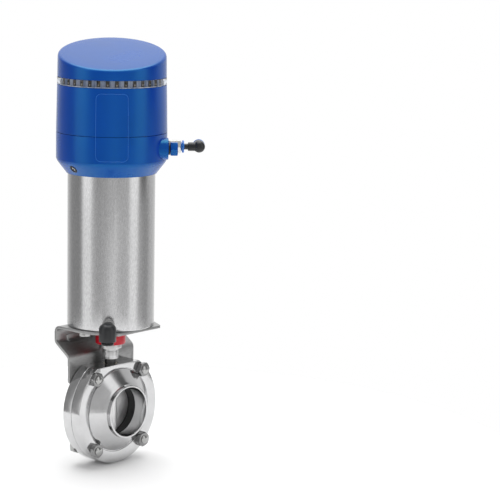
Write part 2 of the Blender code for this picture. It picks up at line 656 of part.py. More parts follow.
def stem_square_top():
    return COUPLING_BOTTOM_Z + STEM_SOCKET_SHARE * (COUPLING_TOP_Z - COUPLING_BOTTOM_Z)


def shaft_square_bottom():
    return COUPLING_TOP_Z - SHAFT_SOCKET_SHARE * (COUPLING_TOP_Z - COUPLING_BOTTOM_Z) + SEAT_GAP


def build_coupling(turning):
    coupling = rod("stem_coupling", COUPLING_RADIUS, COUPLING_BOTTOM_Z, COUPLING_TOP_Z, "steel", turning,
                   steps=MEDIUM_STEPS)
    lower = square_bar("coupling_lower_socket", STEM_SQUARE + 2 * SEAT_GAP, 0, stem_square_top() + SEAT_GAP,
                       parent=turning)
    upper = square_bar("coupling_upper_socket", SHAFT_SQUARE + 2 * SEAT_GAP, shaft_square_bottom() - SEAT_GAP,
                       COUPLING_TOP_Z + CUT_MARGIN, parent=turning)
    cut(coupling, lower, upper)
    inner = COUPLING_RADIUS + SEAT_GAP
    collar_bottom = COUPLING_TOP_Z - COLLAR_BELOW_TOP
    collar_top = collar_bottom + COLLAR_HEIGHT
    ring("coupling_collar", inner, COLLAR_RADIUS, collar_bottom, collar_top, "steel", turning)
    low = collar_top + SEAT_GAP
    high = low + INDICATOR_HEIGHT
    profile = [(INDICATOR_RADIUS - INDICATOR_TOP_EDGE, high), (INDICATOR_RADIUS, high - INDICATOR_TOP_EDGE),
               (INDICATOR_RADIUS, low + INDICATOR_LOW_EDGE), (INDICATOR_RADIUS - INDICATOR_LOW_EDGE, low),
               (inner, low), (inner, high)]
    turned("indicator_ring", profile, "indicator_red", turning)


# Bracket

def bracket_path():
    """The middle of the sheet from the front edge back, down, across the jog and down the leg."""
    middle_top = BRACKET_TOP_Z - SHEET / 2
    leg_x = -(FLANGE_THICKNESS + BODY_SPLIT + SEAT_GAP + SHEET / 2)
    back_x = BRACKET_BACK_X + SHEET / 2
    corners = [
        (BRACKET_FRONT_X + CUT_MARGIN, middle_top, 0),
        (back_x, middle_top, BRACKET_BEND_RADIUS),
        (back_x, BRACKET_JOG_TOP_Z, BRACKET_BEND_RADIUS),
        (leg_x, BRACKET_JOG_BOTTOM_Z, BRACKET_BEND_RADIUS),
        (leg_x, BRACKET_LEG_BOTTOM_Z - CUT_MARGIN, 0),
    ]
    return filleted(corners, steps=4, closed=False)


def build_bracket():
    mesh = bpy.data.meshes.new("mounting_bracket")
    shape = bmesh.new()
    blank_half_width = BRACKET_HALF_WIDTH + CUT_MARGIN
    verts = [shape.verts.new((x, -blank_half_width, z)) for x, z in bracket_path()]
    edges = [shape.edges.new(pair) for pair in zip(verts, verts[1:])]
    swept = bmesh.ops.extrude_edge_only(shape, edges=edges)
    moved = [item for item in swept["geom"] if isinstance(item, bmesh.types.BMVert)]
    bmesh.ops.translate(shape, vec=(0, 2 * blank_half_width, 0), verts=moved)
    bmesh.ops.recalc_face_normals(shape, faces=shape.faces)
    shape.to_mesh(mesh)
    shape.free()
    bracket = add_object("mounting_bracket", mesh, "sheet_steel")
    solidify = bracket.modifiers.new("sheet", "SOLIDIFY")
    solidify.thickness = SHEET
    solidify.offset = 0.0
    solidify.use_even_offset = True

    wide = BRACKET_HALF_WIDTH
    nose = BRACKET_NOSE_HALF_WIDTH
    corner = BRACKET_CORNER_RADIUS
    back = BRACKET_BACK_X - CUT_MARGIN
    plan = filleted([(back, -wide, 0), (BRACKET_NOSE_START_X, -wide, corner),
                     (BRACKET_FRONT_X, -nose, corner), (BRACKET_FRONT_X, nose, corner),
                     (BRACKET_NOSE_START_X, wide, corner), (back, wide, 0)])
    combine(bracket, plate("bracket_plan", [plan], 4 * BRACKET_TOP_Z), "INTERSECT")

    saddle = CONE_RADIUS + CONE_GROOVE_WIDTH + 2 * SEAT_GAP
    rise = math.degrees(math.asin(BRACKET_LEG_BOTTOM_Z / saddle))
    outside = wide + CUT_MARGIN
    below = [(outside, 0, 0), (outside, BRACKET_LEG_BOTTOM_Z + corner + CUT_MARGIN, 0),
             (wide - corner, BRACKET_LEG_BOTTOM_Z, 0)]
    below += [(x, z, 0) for x, z in arc_points((0, 0), saddle, rise, 180 - rise, 15)]
    below += [(corner - wide, BRACKET_LEG_BOTTOM_Z, 0),
              (-outside, BRACKET_LEG_BOTTOM_Z + corner + CUT_MARGIN, 0), (-outside, 0, 0)]
    leg_end = plate("bracket_leg_end", [filleted(below)], 4 * BRACKET_TOP_Z)
    leg_end.matrix_world = Matrix(((0, 0, 1), (1, 0, 0), (0, 1, 0))).to_4x4()

    cutters = [rod("bracket_spigot_cutter", SPIGOT_RADIUS + SEAT_GAP, BRACKET_TOP_Z - 2 * SHEET,
                   BRACKET_TOP_Z + SHEET, steps=MEDIUM_STEPS)]
    for y, z, place, upper in bolt_places():
        if upper:
            cutter = rod("bracket_bolt_cutter_" + place, BOLT_RADIUS + BOLT_CLEARANCE, -BOLT_END_X, 0,
                         steps=HOLE_STEPS)
            cutters.append(aim_along_x(cutter, 0, y, z))
    for side, place in ((-1, "left"), (1, "right")):
        cutter = rod("bracket_screw_cutter_" + place, BRACKET_SCREW_RADIUS + SEAT_GAP,
                     BRACKET_TOP_Z - 2 * SHEET, BRACKET_TOP_Z + SHEET)
        cutter.location = (0, side * BRACKET_SCREW_Y, 0)
        cutters.append(cutter)
        width, height = BRACKET_SLOT_SIZE
        slot_y = side * BRACKET_SLOT_Y
        cutters.append(box("bracket_slot_cutter_" + place,
                           (BRACKET_BACK_X - CUT_MARGIN, slot_y - width / 2, BRACKET_SLOT_Z - height / 2),
                           (BRACKET_BACK_X + 2 * SHEET, slot_y + width / 2, BRACKET_SLOT_Z + height / 2)))
    cut(bracket, leg_end, *cutters)


def build_bracket_screws():
    seat = BRACKET_TOP_Z - SHEET - SEAT_GAP
    for side, place in ((-1, "left"), (1, "right")):
        screw = hexagon("bracket_screw_" + place, BRACKET_SCREW_ACROSS_FLATS,
                        seat - BRACKET_SCREW_HEAD_HEIGHT, seat, "bolt_steel")
        shank = rod("bracket_screw_shank_" + place, BRACKET_SCREW_RADIUS, seat - CUT_MARGIN,
                    seat + SHEET + BRACKET_SCREW_LENGTH)
        screw.location = (0, side * BRACKET_SCREW_Y, 0)
        shank.location = (0, side * BRACKET_SCREW_Y, 0)
        join(screw, shank)


# Actuator

def tube_bottom():
    return BRACKET_TOP_Z + SEAT_GAP


def cap_top():
    return tube_bottom() + BOTTOM_CAP_HEIGHT


def tube_ring_radius():
    """Outer radius of the rings that seal or guide against the tube."""
    return TUBE_RADIUS - TUBE_WALL - SEAL_GAP - FACET_ALLOWANCE


def cap_radius():
    return tube_ring_radius() - RUNNING_GAP


def top_cap_bottom():
    return TUBE_TOP_Z - SEAT_GAP - TOP_CAP_HEIGHT


def tube_port_axis(name):
    out = (math.cos(TUBE_PORT_ANGLE), math.sin(TUBE_PORT_ANGLE), 0)
    return axis_empty(name, (0, 0, TUBE_PORT_Z), out, (0, 0, -1))


def build_tube(port):
    tube = ring("actuator_tube", TUBE_RADIUS - TUBE_WALL, TUBE_RADIUS, tube_bottom(), TUBE_TOP_Z, "tube_steel",
                steps=LARGE_STEPS)
    cut(tube, rod("tube_port_cutter", TUBE_PORT_THREAD_RADIUS + SEAT_GAP, TUBE_RADIUS - 3 * TUBE_WALL,
                  TUBE_RADIUS + 3 * TUBE_WALL, parent=port))


def build_bottom_cap(port):
    spigot_bottom = BRACKET_TOP_Z - SHEET + SEAT_GAP
    bore = SHAFT_RADIUS + RUNNING_GAP + SHAFT_BUSH_WALL + SEAL_GAP
    rib_outer = STOP_RIB_RADIUS + STOP_RIB_WIDTH
    groove_top = cap_top() - BOTTOM_GROOVE_TOP
    profile = [
        (CAP_HUB_RADIUS, cap_top() + CAP_HUB_HEIGHT),
        (CAP_HUB_RADIUS, cap_top()),
        (STOP_RIB_RADIUS, cap_top()),
        (STOP_RIB_RADIUS, cap_top() + STOP_RIB_HEIGHT),
        (rib_outer, cap_top() + STOP_RIB_HEIGHT),
        (rib_outer, cap_top()),
        (cap_radius(), cap_top()),
        (cap_radius(), groove_top),
        (cap_radius() - CAP_GROOVE_DEPTH, groove_top),
        (cap_radius() - CAP_GROOVE_DEPTH, groove_top - CAP_GROOVE_HEIGHT),
        (cap_radius(), groove_top - CAP_GROOVE_HEIGHT),
        (cap_radius(), tube_bottom()),
        (SPIGOT_RADIUS, tube_bottom()),
        (SPIGOT_RADIUS, spigot_bottom),
        (bore, spigot_bottom),
        (bore, cap_top() + CAP_HUB_HEIGHT),
    ]
    cap = turned("bottom_cap", profile, "aluminium")
    cutters = [rod("cap_port_cutter", TUBE_PORT_THREAD_RADIUS + SEAT_GAP, TUBE_PORT_START - SEAT_GAP,
                   TUBE_RADIUS + CUT_MARGIN, parent=port)]
    riser = rod("cap_riser_cutter", RISER_RADIUS, -(BOTTOM_CAP_HEIGHT + CUT_MARGIN), 0, parent=port)
    riser.rotation_euler = (0, math.radians(90), 0)
    riser.location = (0, 0, RISER_DISTANCE)
    cutters.append(riser)
    for side, place in ((-1, "left"), (1, "right")):
        cutter = rod("cap_screw_cutter_" + place, BRACKET_SCREW_RADIUS + SEAT_GAP, 0,
                     BRACKET_TOP_Z + BRACKET_SCREW_LENGTH + SEAT_GAP)
        cutter.location = (0, side * BRACKET_SCREW_Y, 0)
        cutters.append(cutter)
    cut(cap, *cutters)
    ring("bottom_cap_o_ring", cap_radius() - CAP_GROOVE_DEPTH + SEAL_GAP, tube_ring_radius(),
         groove_top - CAP_GROOVE_HEIGHT + SEAL_GAP, groove_top - SEAL_GAP, "seal_rubber")


def build_top_cap():
    low = top_cap_bottom()
    high = TUBE_TOP_Z - SEAT_GAP
    hole = TARGET_STEM_RADIUS + RUNNING_GAP
    ring("top_cap", hole, cap_radius(), low, high, "aluminium")


def slot_half_width():
    return PIN_RADIUS + RUNNING_GAP


def build_guide_tube():
    guide = ring("guide_tube", GUIDE_RADIUS - GUIDE_WALL, GUIDE_RADIUS, cap_top() + SEAT_GAP,
                 top_cap_bottom() - SEAT_GAP, "steel")
    outline = filleted([(-PIN_REST_Z + slot_half_width(), -slot_half_width(), slot_half_width() * 0.98),
                        (-PIN_REST_Z + slot_half_width(), slot_half_width(), slot_half_width() * 0.98),
                        (-PIN_REST_Z - STROKE - slot_half_width(), slot_half_width(), slot_half_width() * 0.98),
                        (-PIN_REST_Z - STROKE - slot_half_width(), -slot_half_width(), slot_half_width() * 0.98)])
    slot = plate("guide_slot_cutter", [outline], 3 * GUIDE_RADIUS)
    slot.rotation_euler = (0, math.radians(90), 0)
    cut(guide, slot)


def helical_slot(name, side, parent):
    """A radial bar swept round and up at the cam's lead; `side` is +1 or -1 for the two slots."""
    sleeve_inner = CAM_RADIUS - CAM_WALL
    slope = math.atan2(STROKE, sleeve_inner * QUARTER_TURN)
    half_height = slot_half_width() / math.cos(slope)
    overrun = math.asin(slot_half_width() / sleeve_inner)
    sweep = QUARTER_TURN + 2 * overrun
    lead = STROKE / QUARTER_TURN
    start_z = PIN_REST_Z - overrun * lead
    inner = sleeve_inner - CAM_WALL / 2
    outer = CAM_RADIUS + CAM_WALL / 2
    mesh = bpy.data.meshes.new(name)
    shape = bmesh.new()
    corners = [(inner, -half_height), (outer, -half_height), (outer, half_height), (inner, half_height)]
    verts = [shape.verts.new((side * x, 0, start_z + z)) for x, z in corners]
    face = shape.faces.new(verts)
    turn_back = Matrix.Rotation(overrun, 3, "Z")
    bmesh.ops.rotate(shape, verts=verts, cent=(0, 0, 0), matrix=turn_back)
    bmesh.ops.spin(shape, geom=[face] + list(face.edges) + verts, cent=(0, 0, 0), axis=(0, 0, -1),
                   dvec=(0, 0, sweep * lead / CAM_SLOT_STEPS), angle=sweep, steps=CAM_SLOT_STEPS,
                   use_duplicate=False)
    bmesh.ops.recalc_face_normals(shape, faces=shape.faces)
    shape.to_mesh(mesh)
    shape.free()
    return add_object(name, mesh, parent=parent)


def cam_bottom():
    return cap_top() + CAP_HUB_HEIGHT + 2 * SEAT_GAP + THRUST_WASHER_HEIGHT


def build_cam_shaft(turning):
    """Output shaft with the cam sleeve on top; its two helical slots turn it as the pin rises."""
    low = cam_bottom()
    top = low + CAM_HEIGHT
    shaft_bottom = COUPLING_TOP_Z + SEAT_GAP
    cavity = CAM_RADIUS - CAM_WALL
    profile = [(0, low + CAM_FLOOR), (cavity, low + CAM_FLOOR), (cavity, top), (CAM_RADIUS, top),
               (CAM_RADIUS, low), (SHAFT_RADIUS, low), (SHAFT_RADIUS, shaft_bottom), (0, shaft_bottom)]
    cam = turned("cam_shaft", profile, "steel", turning, closed=False)
    square = square_bar("cam_square", SHAFT_SQUARE, shaft_square_bottom(), shaft_bottom + CUT_MARGIN,
                        parent=turning)
    join(cam, square)
    cut(cam, helical_slot("cam_slot_cutter_right", 1, turning), helical_slot("cam_slot_cutter_left", -1, turning))


def build_shaft_bearings():
    inner = SHAFT_RADIUS + RUNNING_GAP
    outer = inner + SHAFT_BUSH_WALL
    hub_top = cap_top() + CAP_HUB_HEIGHT
    seal_top = hub_top
    seal_bottom = seal_top - SHAFT_SEAL_HEIGHT
    bush_top = seal_bottom - SEAT_GAP
    bush_bottom = BRACKET_TOP_Z - SHEET + 2 * SEAT_GAP
    ring("shaft_bush", inner, outer, bush_bottom, bush_top, "bush_plastic")
    ring("shaft_seal", inner, outer, seal_bottom, seal_top, "seal_rubber")
    washer_bottom = hub_top + SEAT_GAP
    ring("thrust_washer", inner, CAM_RADIUS - SEAT_GAP, washer_bottom, washer_bottom + THRUST_WASHER_HEIGHT,
         "bush_plastic")
    cam_top = cam_bottom() + CAM_HEIGHT
    ring("cam_bush", CAM_RADIUS + RUNNING_GAP, GUIDE_RADIUS - GUIDE_WALL - SEAL_GAP,
         cam_top - UPPER_BUSH_HEIGHT, cam_top, "bush_plastic")


def build_position_target(turning):
    """Plug in the cam's open end, with the stem that carries the magnet head up into the control head."""
    cam_top = cam_bottom() + CAM_HEIGHT
    plug = CAM_RADIUS - CAM_WALL - SEAL_GAP
    head_low = TARGET_TOP_Z - TARGET_HEAD_HEIGHT
    profile = [(0, TARGET_TOP_Z), (TARGET_HEAD_RADIUS, TARGET_TOP_Z), (TARGET_HEAD_RADIUS, head_low),
               (TARGET_STEM_RADIUS, head_low), (TARGET_STEM_RADIUS, cam_top - SEAT_GAP),
               (plug, cam_top - SEAT_GAP), (plug, cam_top - TARGET_PLUG_HEIGHT),
               (0, cam_top - TARGET_PLUG_HEIGHT)]
    turned("position_target", profile, "aluminium", turning, closed=False)


def build_piston(sliding):
    """Piston crown and hub; the hub carries the cross pin."""
    low = cap_top() + STOP_RIB_HEIGHT + SEAT_GAP
    crown = low + PISTON_CROWN_HEIGHT
    hub_top = PIN_REST_Z + PISTON_HUB_ABOVE_PIN
    outer = tube_ring_radius() - RUNNING_GAP
    bore = GUIDE_RADIUS + RUNNING_GAP + PISTON_BORE_GAP
    outer_groove = low + (PISTON_CROWN_HEIGHT - RING_GROOVE_HEIGHT) / 2
    inner_groove = low + INNER_GROOVE_RISE
    profile = [(PISTON_HUB_RADIUS, hub_top), (PISTON_HUB_RADIUS, crown), (outer, crown)]
    profile += [(outer, outer_groove + RING_GROOVE_HEIGHT),
                (outer - RING_GROOVE_DEPTH, outer_groove + RING_GROOVE_HEIGHT),
                (outer - RING_GROOVE_DEPTH, outer_groove), (outer, outer_groove)]
    profile += [(outer, low), (bore, low), (bore, inner_groove),
                (bore + INNER_GROOVE_DEPTH, inner_groove),
                (bore + INNER_GROOVE_DEPTH, inner_groove + RING_GROOVE_HEIGHT),
                (bore, inner_groove + RING_GROOVE_HEIGHT), (bore, hub_top)]
    piston = turned("piston", profile, "aluminium", sliding)
    pin_hole = rod("piston_pin_cutter", PIN_RADIUS + SEAL_GAP, -2 * PISTON_HUB_RADIUS, 2 * PISTON_HUB_RADIUS,
                   parent=sliding)
    cut(piston, aim_along_x(pin_hole, 0, 0, PIN_REST_Z))

    ring("piston_seal", outer - RING_GROOVE_DEPTH + SEAL_GAP, tube_ring_radius(), outer_groove + SEAL_GAP,
         outer_groove + RING_GROOVE_HEIGHT - SEAL_GAP, "seal_rubber", sliding)
    ring("piston_bore_seal", GUIDE_RADIUS + RUNNING_GAP, bore + INNER_GROOVE_DEPTH - SEAL_GAP,
         inner_groove + SEAL_GAP, inner_groove + RING_GROOVE_HEIGHT - SEAL_GAP, "seal_rubber", sliding)
    pin = rod("cross_pin", PIN_RADIUS, -PISTON_HUB_RADIUS + SEAT_GAP, PISTON_HUB_RADIUS - SEAT_GAP, "steel", sliding)
    aim_along_x(pin, 0, 0, PIN_REST_Z)


def build_spring():
    """Main return spring between the piston's crown and the top cap, with closed end turns."""
    low = cap_top() + STOP_RIB_HEIGHT + SEAT_GAP + PISTON_CROWN_HEIGHT + SEAT_GAP + SPRING_WIRE_RADIUS
    high = top_cap_bottom() - SEAT_GAP - SPRING_WIRE_RADIUS
    rise_per_closed_turn = 2 * SPRING_WIRE_RADIUS + SEAT_GAP
    count = int(SPRING_TURNS * SPRING_POINTS_PER_TURN)
    active = SPRING_TURNS - 2 * SPRING_CLOSED_TURNS
    pitch = (high - low - 2 * SPRING_CLOSED_TURNS * rise_per_closed_turn) / active
    curve = bpy.data.curves.new("main_spring_wire", "CURVE")
    curve.dimensions = "3D"
    curve.bevel_depth = SPRING_WIRE_RADIUS
    curve.bevel_resolution = 1
    curve.use_fill_caps = True
    wire = curve.splines.new("POLY")
    wire.points.add(count)
    for i in range(count + 1):
        turns = SPRING_TURNS * i / count
        bottom_turns = min(turns, SPRING_CLOSED_TURNS)
        top_turns = max(0.0, turns - (SPRING_TURNS - SPRING_CLOSED_TURNS))
        middle_turns = turns - bottom_turns - top_turns
        z = low + (bottom_turns + top_turns) * rise_per_closed_turn + middle_turns * pitch
        angle = 2 * math.pi * turns
        wire.points[i].co = (SPRING_RADIUS * math.cos(angle), SPRING_RADIUS * math.sin(angle), z, 1)
    drawn = bpy.data.objects.new("main_spring_wire", curve)
    CUTTERS.objects.link(drawn)
    mesh = baked(drawn)
    bpy.data.objects.remove(drawn)
    return add_object("main_spring", mesh, "spring_steel")


# Push-in air fittings

def release_ring(name, hose_radius, standoff_z, parent, colour):
    """The collet's ring: pressed in by hand to free the hose. Its sleeve runs in the fitting's mouth."""
    bore = hose_radius + SEAL_GAP
    sleeve = bore + RELEASE_SLEEVE_WALL
    outer = sleeve + RELEASE_LIP
    rim = standoff_z + RELEASE_RING_THICKNESS
    sleeve_end = standoff_z - RELEASE_SLEEVE_LENGTH
    profile = [(outer, rim), (outer, standoff_z), (sleeve, standoff_z), (sleeve, sleeve_end), (bore, sleeve_end),
               (bore, rim)]
    return turned(name, profile, colour, parent, steps=SMALL_STEPS)


def fitting_bore(name, hose_radius, bore_start, mouth_z, parent):
    """Cutter for a push-in fitting: the hose's bore and the wider mouth that the collet's sleeve runs in."""
    bore = hose_radius + SEAL_GAP
    sleeve_bore = bore + RELEASE_SLEEVE_WALL + RUNNING_GAP
    sleeve_end = mouth_z - RELEASE_SLEEVE_LENGTH - SEAT_GAP
    profile = [(0, mouth_z + CUT_MARGIN), (sleeve_bore, mouth_z + CUT_MARGIN), (sleeve_bore, sleeve_end),
               (bore, sleeve_end), (bore, bore_start), (0, bore_start)]
    return turned(name, profile, parent=parent, steps=SMALL_STEPS, closed=False)


def turn_to_leg(obj, reach, along_leg=0.0):
    """Set an object that was made along Z on an elbow's leg, which runs along the swivel frame's X axis."""
    obj.rotation_euler = (0, math.radians(90), 0)
    obj.location = (along_leg, 0, reach)
    return obj


def elbow(name, radius, leg, swivel, reach, barrel_start, barrel_radius):
    """A push-in elbow: a leg with a domed back and a barrel that swivels on its stud, both bored for the hose."""
    dome = [(x, -z) for x, z in arc_points((0, 0), radius, 0, 90, 4)]
    dome[-1] = (0, -radius)
    profile = [(0, leg), (radius - FITTING_EDGE, leg), (radius, leg - FITTING_EDGE)] + dome
    body = turn_to_leg(turned(name, profile, "black_plastic", swivel, steps=SMALL_STEPS, closed=False), reach)
    barrel = rod(name + "_barrel", barrel_radius, barrel_start, reach, parent=swivel)
    bore = fitting_bore(name + "_bore", AIR_HOSE_RADIUS, -AIR_HOSE_RADIUS, leg, swivel)
    return cut(join(body, barrel), turn_to_leg(bore, reach))


def build_actuator_elbow(swivel):
    barrel_start = ACTUATOR_ELBOW_REACH - ACTUATOR_ELBOW_RADIUS
    spigot_end = ACTUATOR_ELBOW_REACH - AIR_HOSE_RADIUS - SEAL_GAP - STUD_SPIGOT_WALL
    body = elbow("air_elbow", ACTUATOR_ELBOW_RADIUS, ACTUATOR_ELBOW_LEG, swivel, ACTUATOR_ELBOW_REACH,
                 barrel_start, ACTUATOR_ELBOW_RADIUS - SEAT_GAP)
    cut(body, rod("air_elbow_socket", STUD_SPIGOT_RADIUS + RUNNING_GAP, barrel_start - CUT_MARGIN,
                  spigot_end + SEAT_GAP, parent=swivel),
        rod("air_elbow_way", AIR_WAY_RADIUS, barrel_start, ACTUATOR_ELBOW_REACH, parent=swivel))
    collar_start = TUBE_RADIUS + SEAT_GAP
    collar_end = barrel_start - SEAT_GAP
    stud_profile = [(STUD_SPIGOT_RADIUS, spigot_end), (STUD_SPIGOT_RADIUS, collar_end),
                    (STUD_COLLAR_RADIUS, collar_end), (STUD_COLLAR_RADIUS, collar_start),
                    (TUBE_PORT_THREAD_RADIUS, collar_start), (TUBE_PORT_THREAD_RADIUS, TUBE_PORT_START),
                    (AIR_WAY_RADIUS, TUBE_PORT_START), (AIR_WAY_RADIUS, spigot_end)]
    turned("air_elbow_stud", stud_profile, "nickel", tube_port_axis("air_elbow_stud_axis"), steps=SMALL_STEPS)
    released = release_ring("air_elbow_release_ring", AIR_HOSE_RADIUS, RELEASE_RING_STANDOFF, swivel,
                            "black_plastic")
    turn_to_leg(released, ACTUATOR_ELBOW_REACH, ACTUATOR_ELBOW_LEG)


# Control head

def adapter_side():
    """The adapter's outer side as (radius, z) points, from its wide top down to its foot on the tube."""
    foot = TUBE_RADIUS + SEAT_GAP + ADAPTER_FOOT_WALL
    spread = HEAD_RADIUS - foot
    height = ADAPTER_TOP_Z - ADAPTER_BOTTOM_Z
    return [(foot + spread * out, ADAPTER_BOTTOM_Z + height * up) for out, up in ADAPTER_SIDE_SHARES]


def build_adapter(head, screw_axis):
    bore = TUBE_RADIUS + SEAT_GAP
    profile = adapter_side() + [
        (bore, ADAPTER_BOTTOM_Z),
        (bore, TUBE_TOP_Z + SEAT_GAP),
        (HEAD_WELL_RADIUS, TUBE_TOP_Z + SEAT_GAP),
        (HEAD_WELL_RADIUS, ADAPTER_TOP_Z),
    ]
    adapter = turned("head_adapter", profile, "head_blue", head, steps=HEAD_STEPS)
    cut(adapter,
        rod("adapter_ring_cutter", SCREW_RING_RADIUS + SEAT_GAP, -SCREW_RING_HEIGHT, CUT_MARGIN, parent=screw_axis),
        rod("adapter_screw_cutter", ADAPTER_SCREW_SHANK_RADIUS + SEAT_GAP,
            -SCREW_RING_HEIGHT - ADAPTER_SCREW_DEPTH, 0, parent=screw_axis))


def adapter_screw_axis():
    """Square to the adapter's sloping side, with its origin on that side."""
    upper, lower = adapter_side()[2:4]
    rise = upper[1] - lower[1]
    run = upper[0] - lower[0]
    direction = ADAPTER_SCREW_ANGLE + HEAD_TURN
    radial = Vector((math.cos(direction), math.sin(direction), 0))
    across = Vector((-math.sin(direction), math.cos(direction), 0))
    out = (radial * rise - Vector((0, 0, run))).normalized()
    middle = radial * (upper[0] + lower[0]) / 2 + Vector((0, 0, (upper[1] + lower[1]) / 2))
    return axis_empty("adapter_screw_axis", middle, out, across)


def build_adapter_screw(screw_axis):
    floor = -SCREW_RING_HEIGHT + SEAT_GAP
    shank = ADAPTER_SCREW_SHANK_RADIUS
    profile = [(0, ADAPTER_SCREW_PROUD), (ADAPTER_SCREW_RADIUS, ADAPTER_SCREW_PROUD), (ADAPTER_SCREW_RADIUS, floor),
               (shank, floor), (shank, floor - ADAPTER_SCREW_DEPTH), (0, floor - ADAPTER_SCREW_DEPTH)]
    screw = turned("adapter_screw", profile, "bolt_steel", screw_axis, steps=SMALL_STEPS, closed=False)
    cut(screw, hexagon("adapter_screw_socket", ADAPTER_SOCKET_WIDTH, floor + ADAPTER_SOCKET_FLOOR, CUT_MARGIN,
                       parent=screw_axis))
    ring("adapter_screw_ring", ADAPTER_SCREW_RADIUS + SEAL_GAP, SCREW_RING_RADIUS, floor, SCREW_RING_PROUD,
         "black_plastic", screw_axis, steps=SMALL_STEPS)


def panel_pad(name, low, high, radius_low, radius_high, head):
    """The raised panel between two heights, as a pad that stands proud of the housing's side."""
    corners = [(-PANEL_WIDTH / 2, low, PANEL_CORNER if low == PANEL_BOTTOM_Z else 0),
               (PANEL_WIDTH / 2, low, PANEL_CORNER if low == PANEL_BOTTOM_Z else 0),
               (PANEL_WIDTH / 2, high, PANEL_CORNER if high == PANEL_TOP_Z else 0),
               (-PANEL_WIDTH / 2, high, PANEL_CORNER if high == PANEL_TOP_Z else 0)]
    pad = plate(name, [filleted(corners, steps=4)], HEAD_RADIUS, parent=head)
    pad.rotation_euler = (math.radians(90), 0, 0)
    pad.location = (0, -HEAD_RADIUS, 0)
    shell = turned(name + "_shell", [(radius_high + PANEL_PROUD, high + CUT_MARGIN),
                                     (radius_low + PANEL_PROUD, low - CUT_MARGIN),
                                     (radius_low - HEAD_WALL / 2, low - CUT_MARGIN),
                                     (radius_high - HEAD_WALL / 2, high + CUT_MARGIN)], parent=head,
                   steps=HEAD_STEPS)
    combine(pad, shell, "INTERSECT")
    return pad


def head_radius_at(z):
    """The head's side tapers in above the seam."""
    share = (z - SEAM_Z) / (UPPER_HOUSING_TOP_Z - SEAM_Z)
    return HEAD_RADIUS + (HEAD_SHOULDER_RADIUS - HEAD_RADIUS) * share


def lower_housing_bottom():
    return ADAPTER_TOP_Z + SEAT_GAP


def build_lower_housing(head, gland_axis, supply_axis):
    low = lower_housing_bottom()
    floor = low + HEAD_WALL
    high = SEAM_Z - SEAM_GAP / 2
    wall = HEAD_RADIUS - HEAD_WALL
    profile = [(HEAD_RADIUS, high), (HEAD_RADIUS, low), (HEAD_WELL_RADIUS, low), (HEAD_WELL_RADIUS, floor),
               (wall, floor), (wall, high)]
    housing = turned("lower_housing", profile, "head_blue", head, steps=HEAD_STEPS)
    pad = panel_pad("lower_panel_pad", PANEL_BOTTOM_Z, high, HEAD_RADIUS, HEAD_RADIUS, head)
    gland_boss = rod("gland_boss", GLAND_BOSS_RADIUS, GLAND_BOSS_START, PORT_FACE, parent=gland_axis, steps=16)
    supply_boss = rod("supply_boss", SUPPLY_BOSS_RADIUS, wall - HEAD_WALL, PORT_FACE, parent=supply_axis, steps=16)
    join(housing, pad, gland_boss, supply_boss)
    inside = GLAND_BOSS_START - CUT_MARGIN
    cut(housing,
        rod("gland_hole_cutter", GLAND_THREAD_RADIUS + SEAT_GAP, inside, PORT_FACE + CUT_MARGIN,
            parent=gland_axis),
        rod("supply_hole_cutter", SUPPLY_THREAD_RADIUS + SEAT_GAP, inside, PORT_FACE + CUT_MARGIN,
            parent=supply_axis))


def build_upper_housing(head):
    low = SEAM_Z + SEAM_GAP / 2
    high = UPPER_HOUSING_TOP_Z
    profile = [
        (HEAD_SHOULDER_RADIUS, high),
        (HEAD_RADIUS, low),
        (HEAD_RADIUS - HEAD_WALL, low),
        (head_radius_at(BOARD_LEDGE_Z) - HEAD_WALL, BOARD_LEDGE_Z),
        (BOARD_LEDGE_RADIUS, BOARD_LEDGE_Z),
        (BOARD_LEDGE_RADIUS, BOARD_LEDGE_Z + BOARD_LEDGE_HEIGHT),
        (head_radius_at(BOARD_LEDGE_Z) - HEAD_WALL, BOARD_LEDGE_Z + BOARD_LEDGE_HEIGHT),
        (HEAD_SHOULDER_RADIUS - HEAD_WALL, high - HEAD_WALL),
        (HEAD_FLANGE_RADIUS, high - HEAD_WALL),
        (HEAD_FLANGE_RADIUS, high),
    ]
    housing = turned("upper_housing", profile, "head_blue", head, steps=HEAD_STEPS)
    pad = panel_pad("upper_panel_pad", low, PANEL_TOP_Z, HEAD_RADIUS, head_radius_at(PANEL_TOP_Z), head)
    join(housing, pad)
    board_radius = head_radius_at(BOARD_LEDGE_Z) - HEAD_WALL - 2 * SEAT_GAP
    board_top = BOARD_LEDGE_Z - SEAT_GAP
    rod("control_board", board_radius, board_top - BOARD_THICKNESS, board_top, "board_green", head)


def build_solenoid(head):
    width, depth, height = SOLENOID_SIZE
    low = lower_housing_bottom() + HEAD_WALL + SEAT_GAP
    solenoid = box("solenoid_valve", (-width / 2, SOLENOID_Y - depth / 2, low),
                   (width / 2, SOLENOID_Y + depth / 2, low + height), "black_plastic", head)
    bevel = solenoid.modifiers.new("edges", "BEVEL")
    bevel.width = SOLENOID_EDGE
    bevel.segments = 1


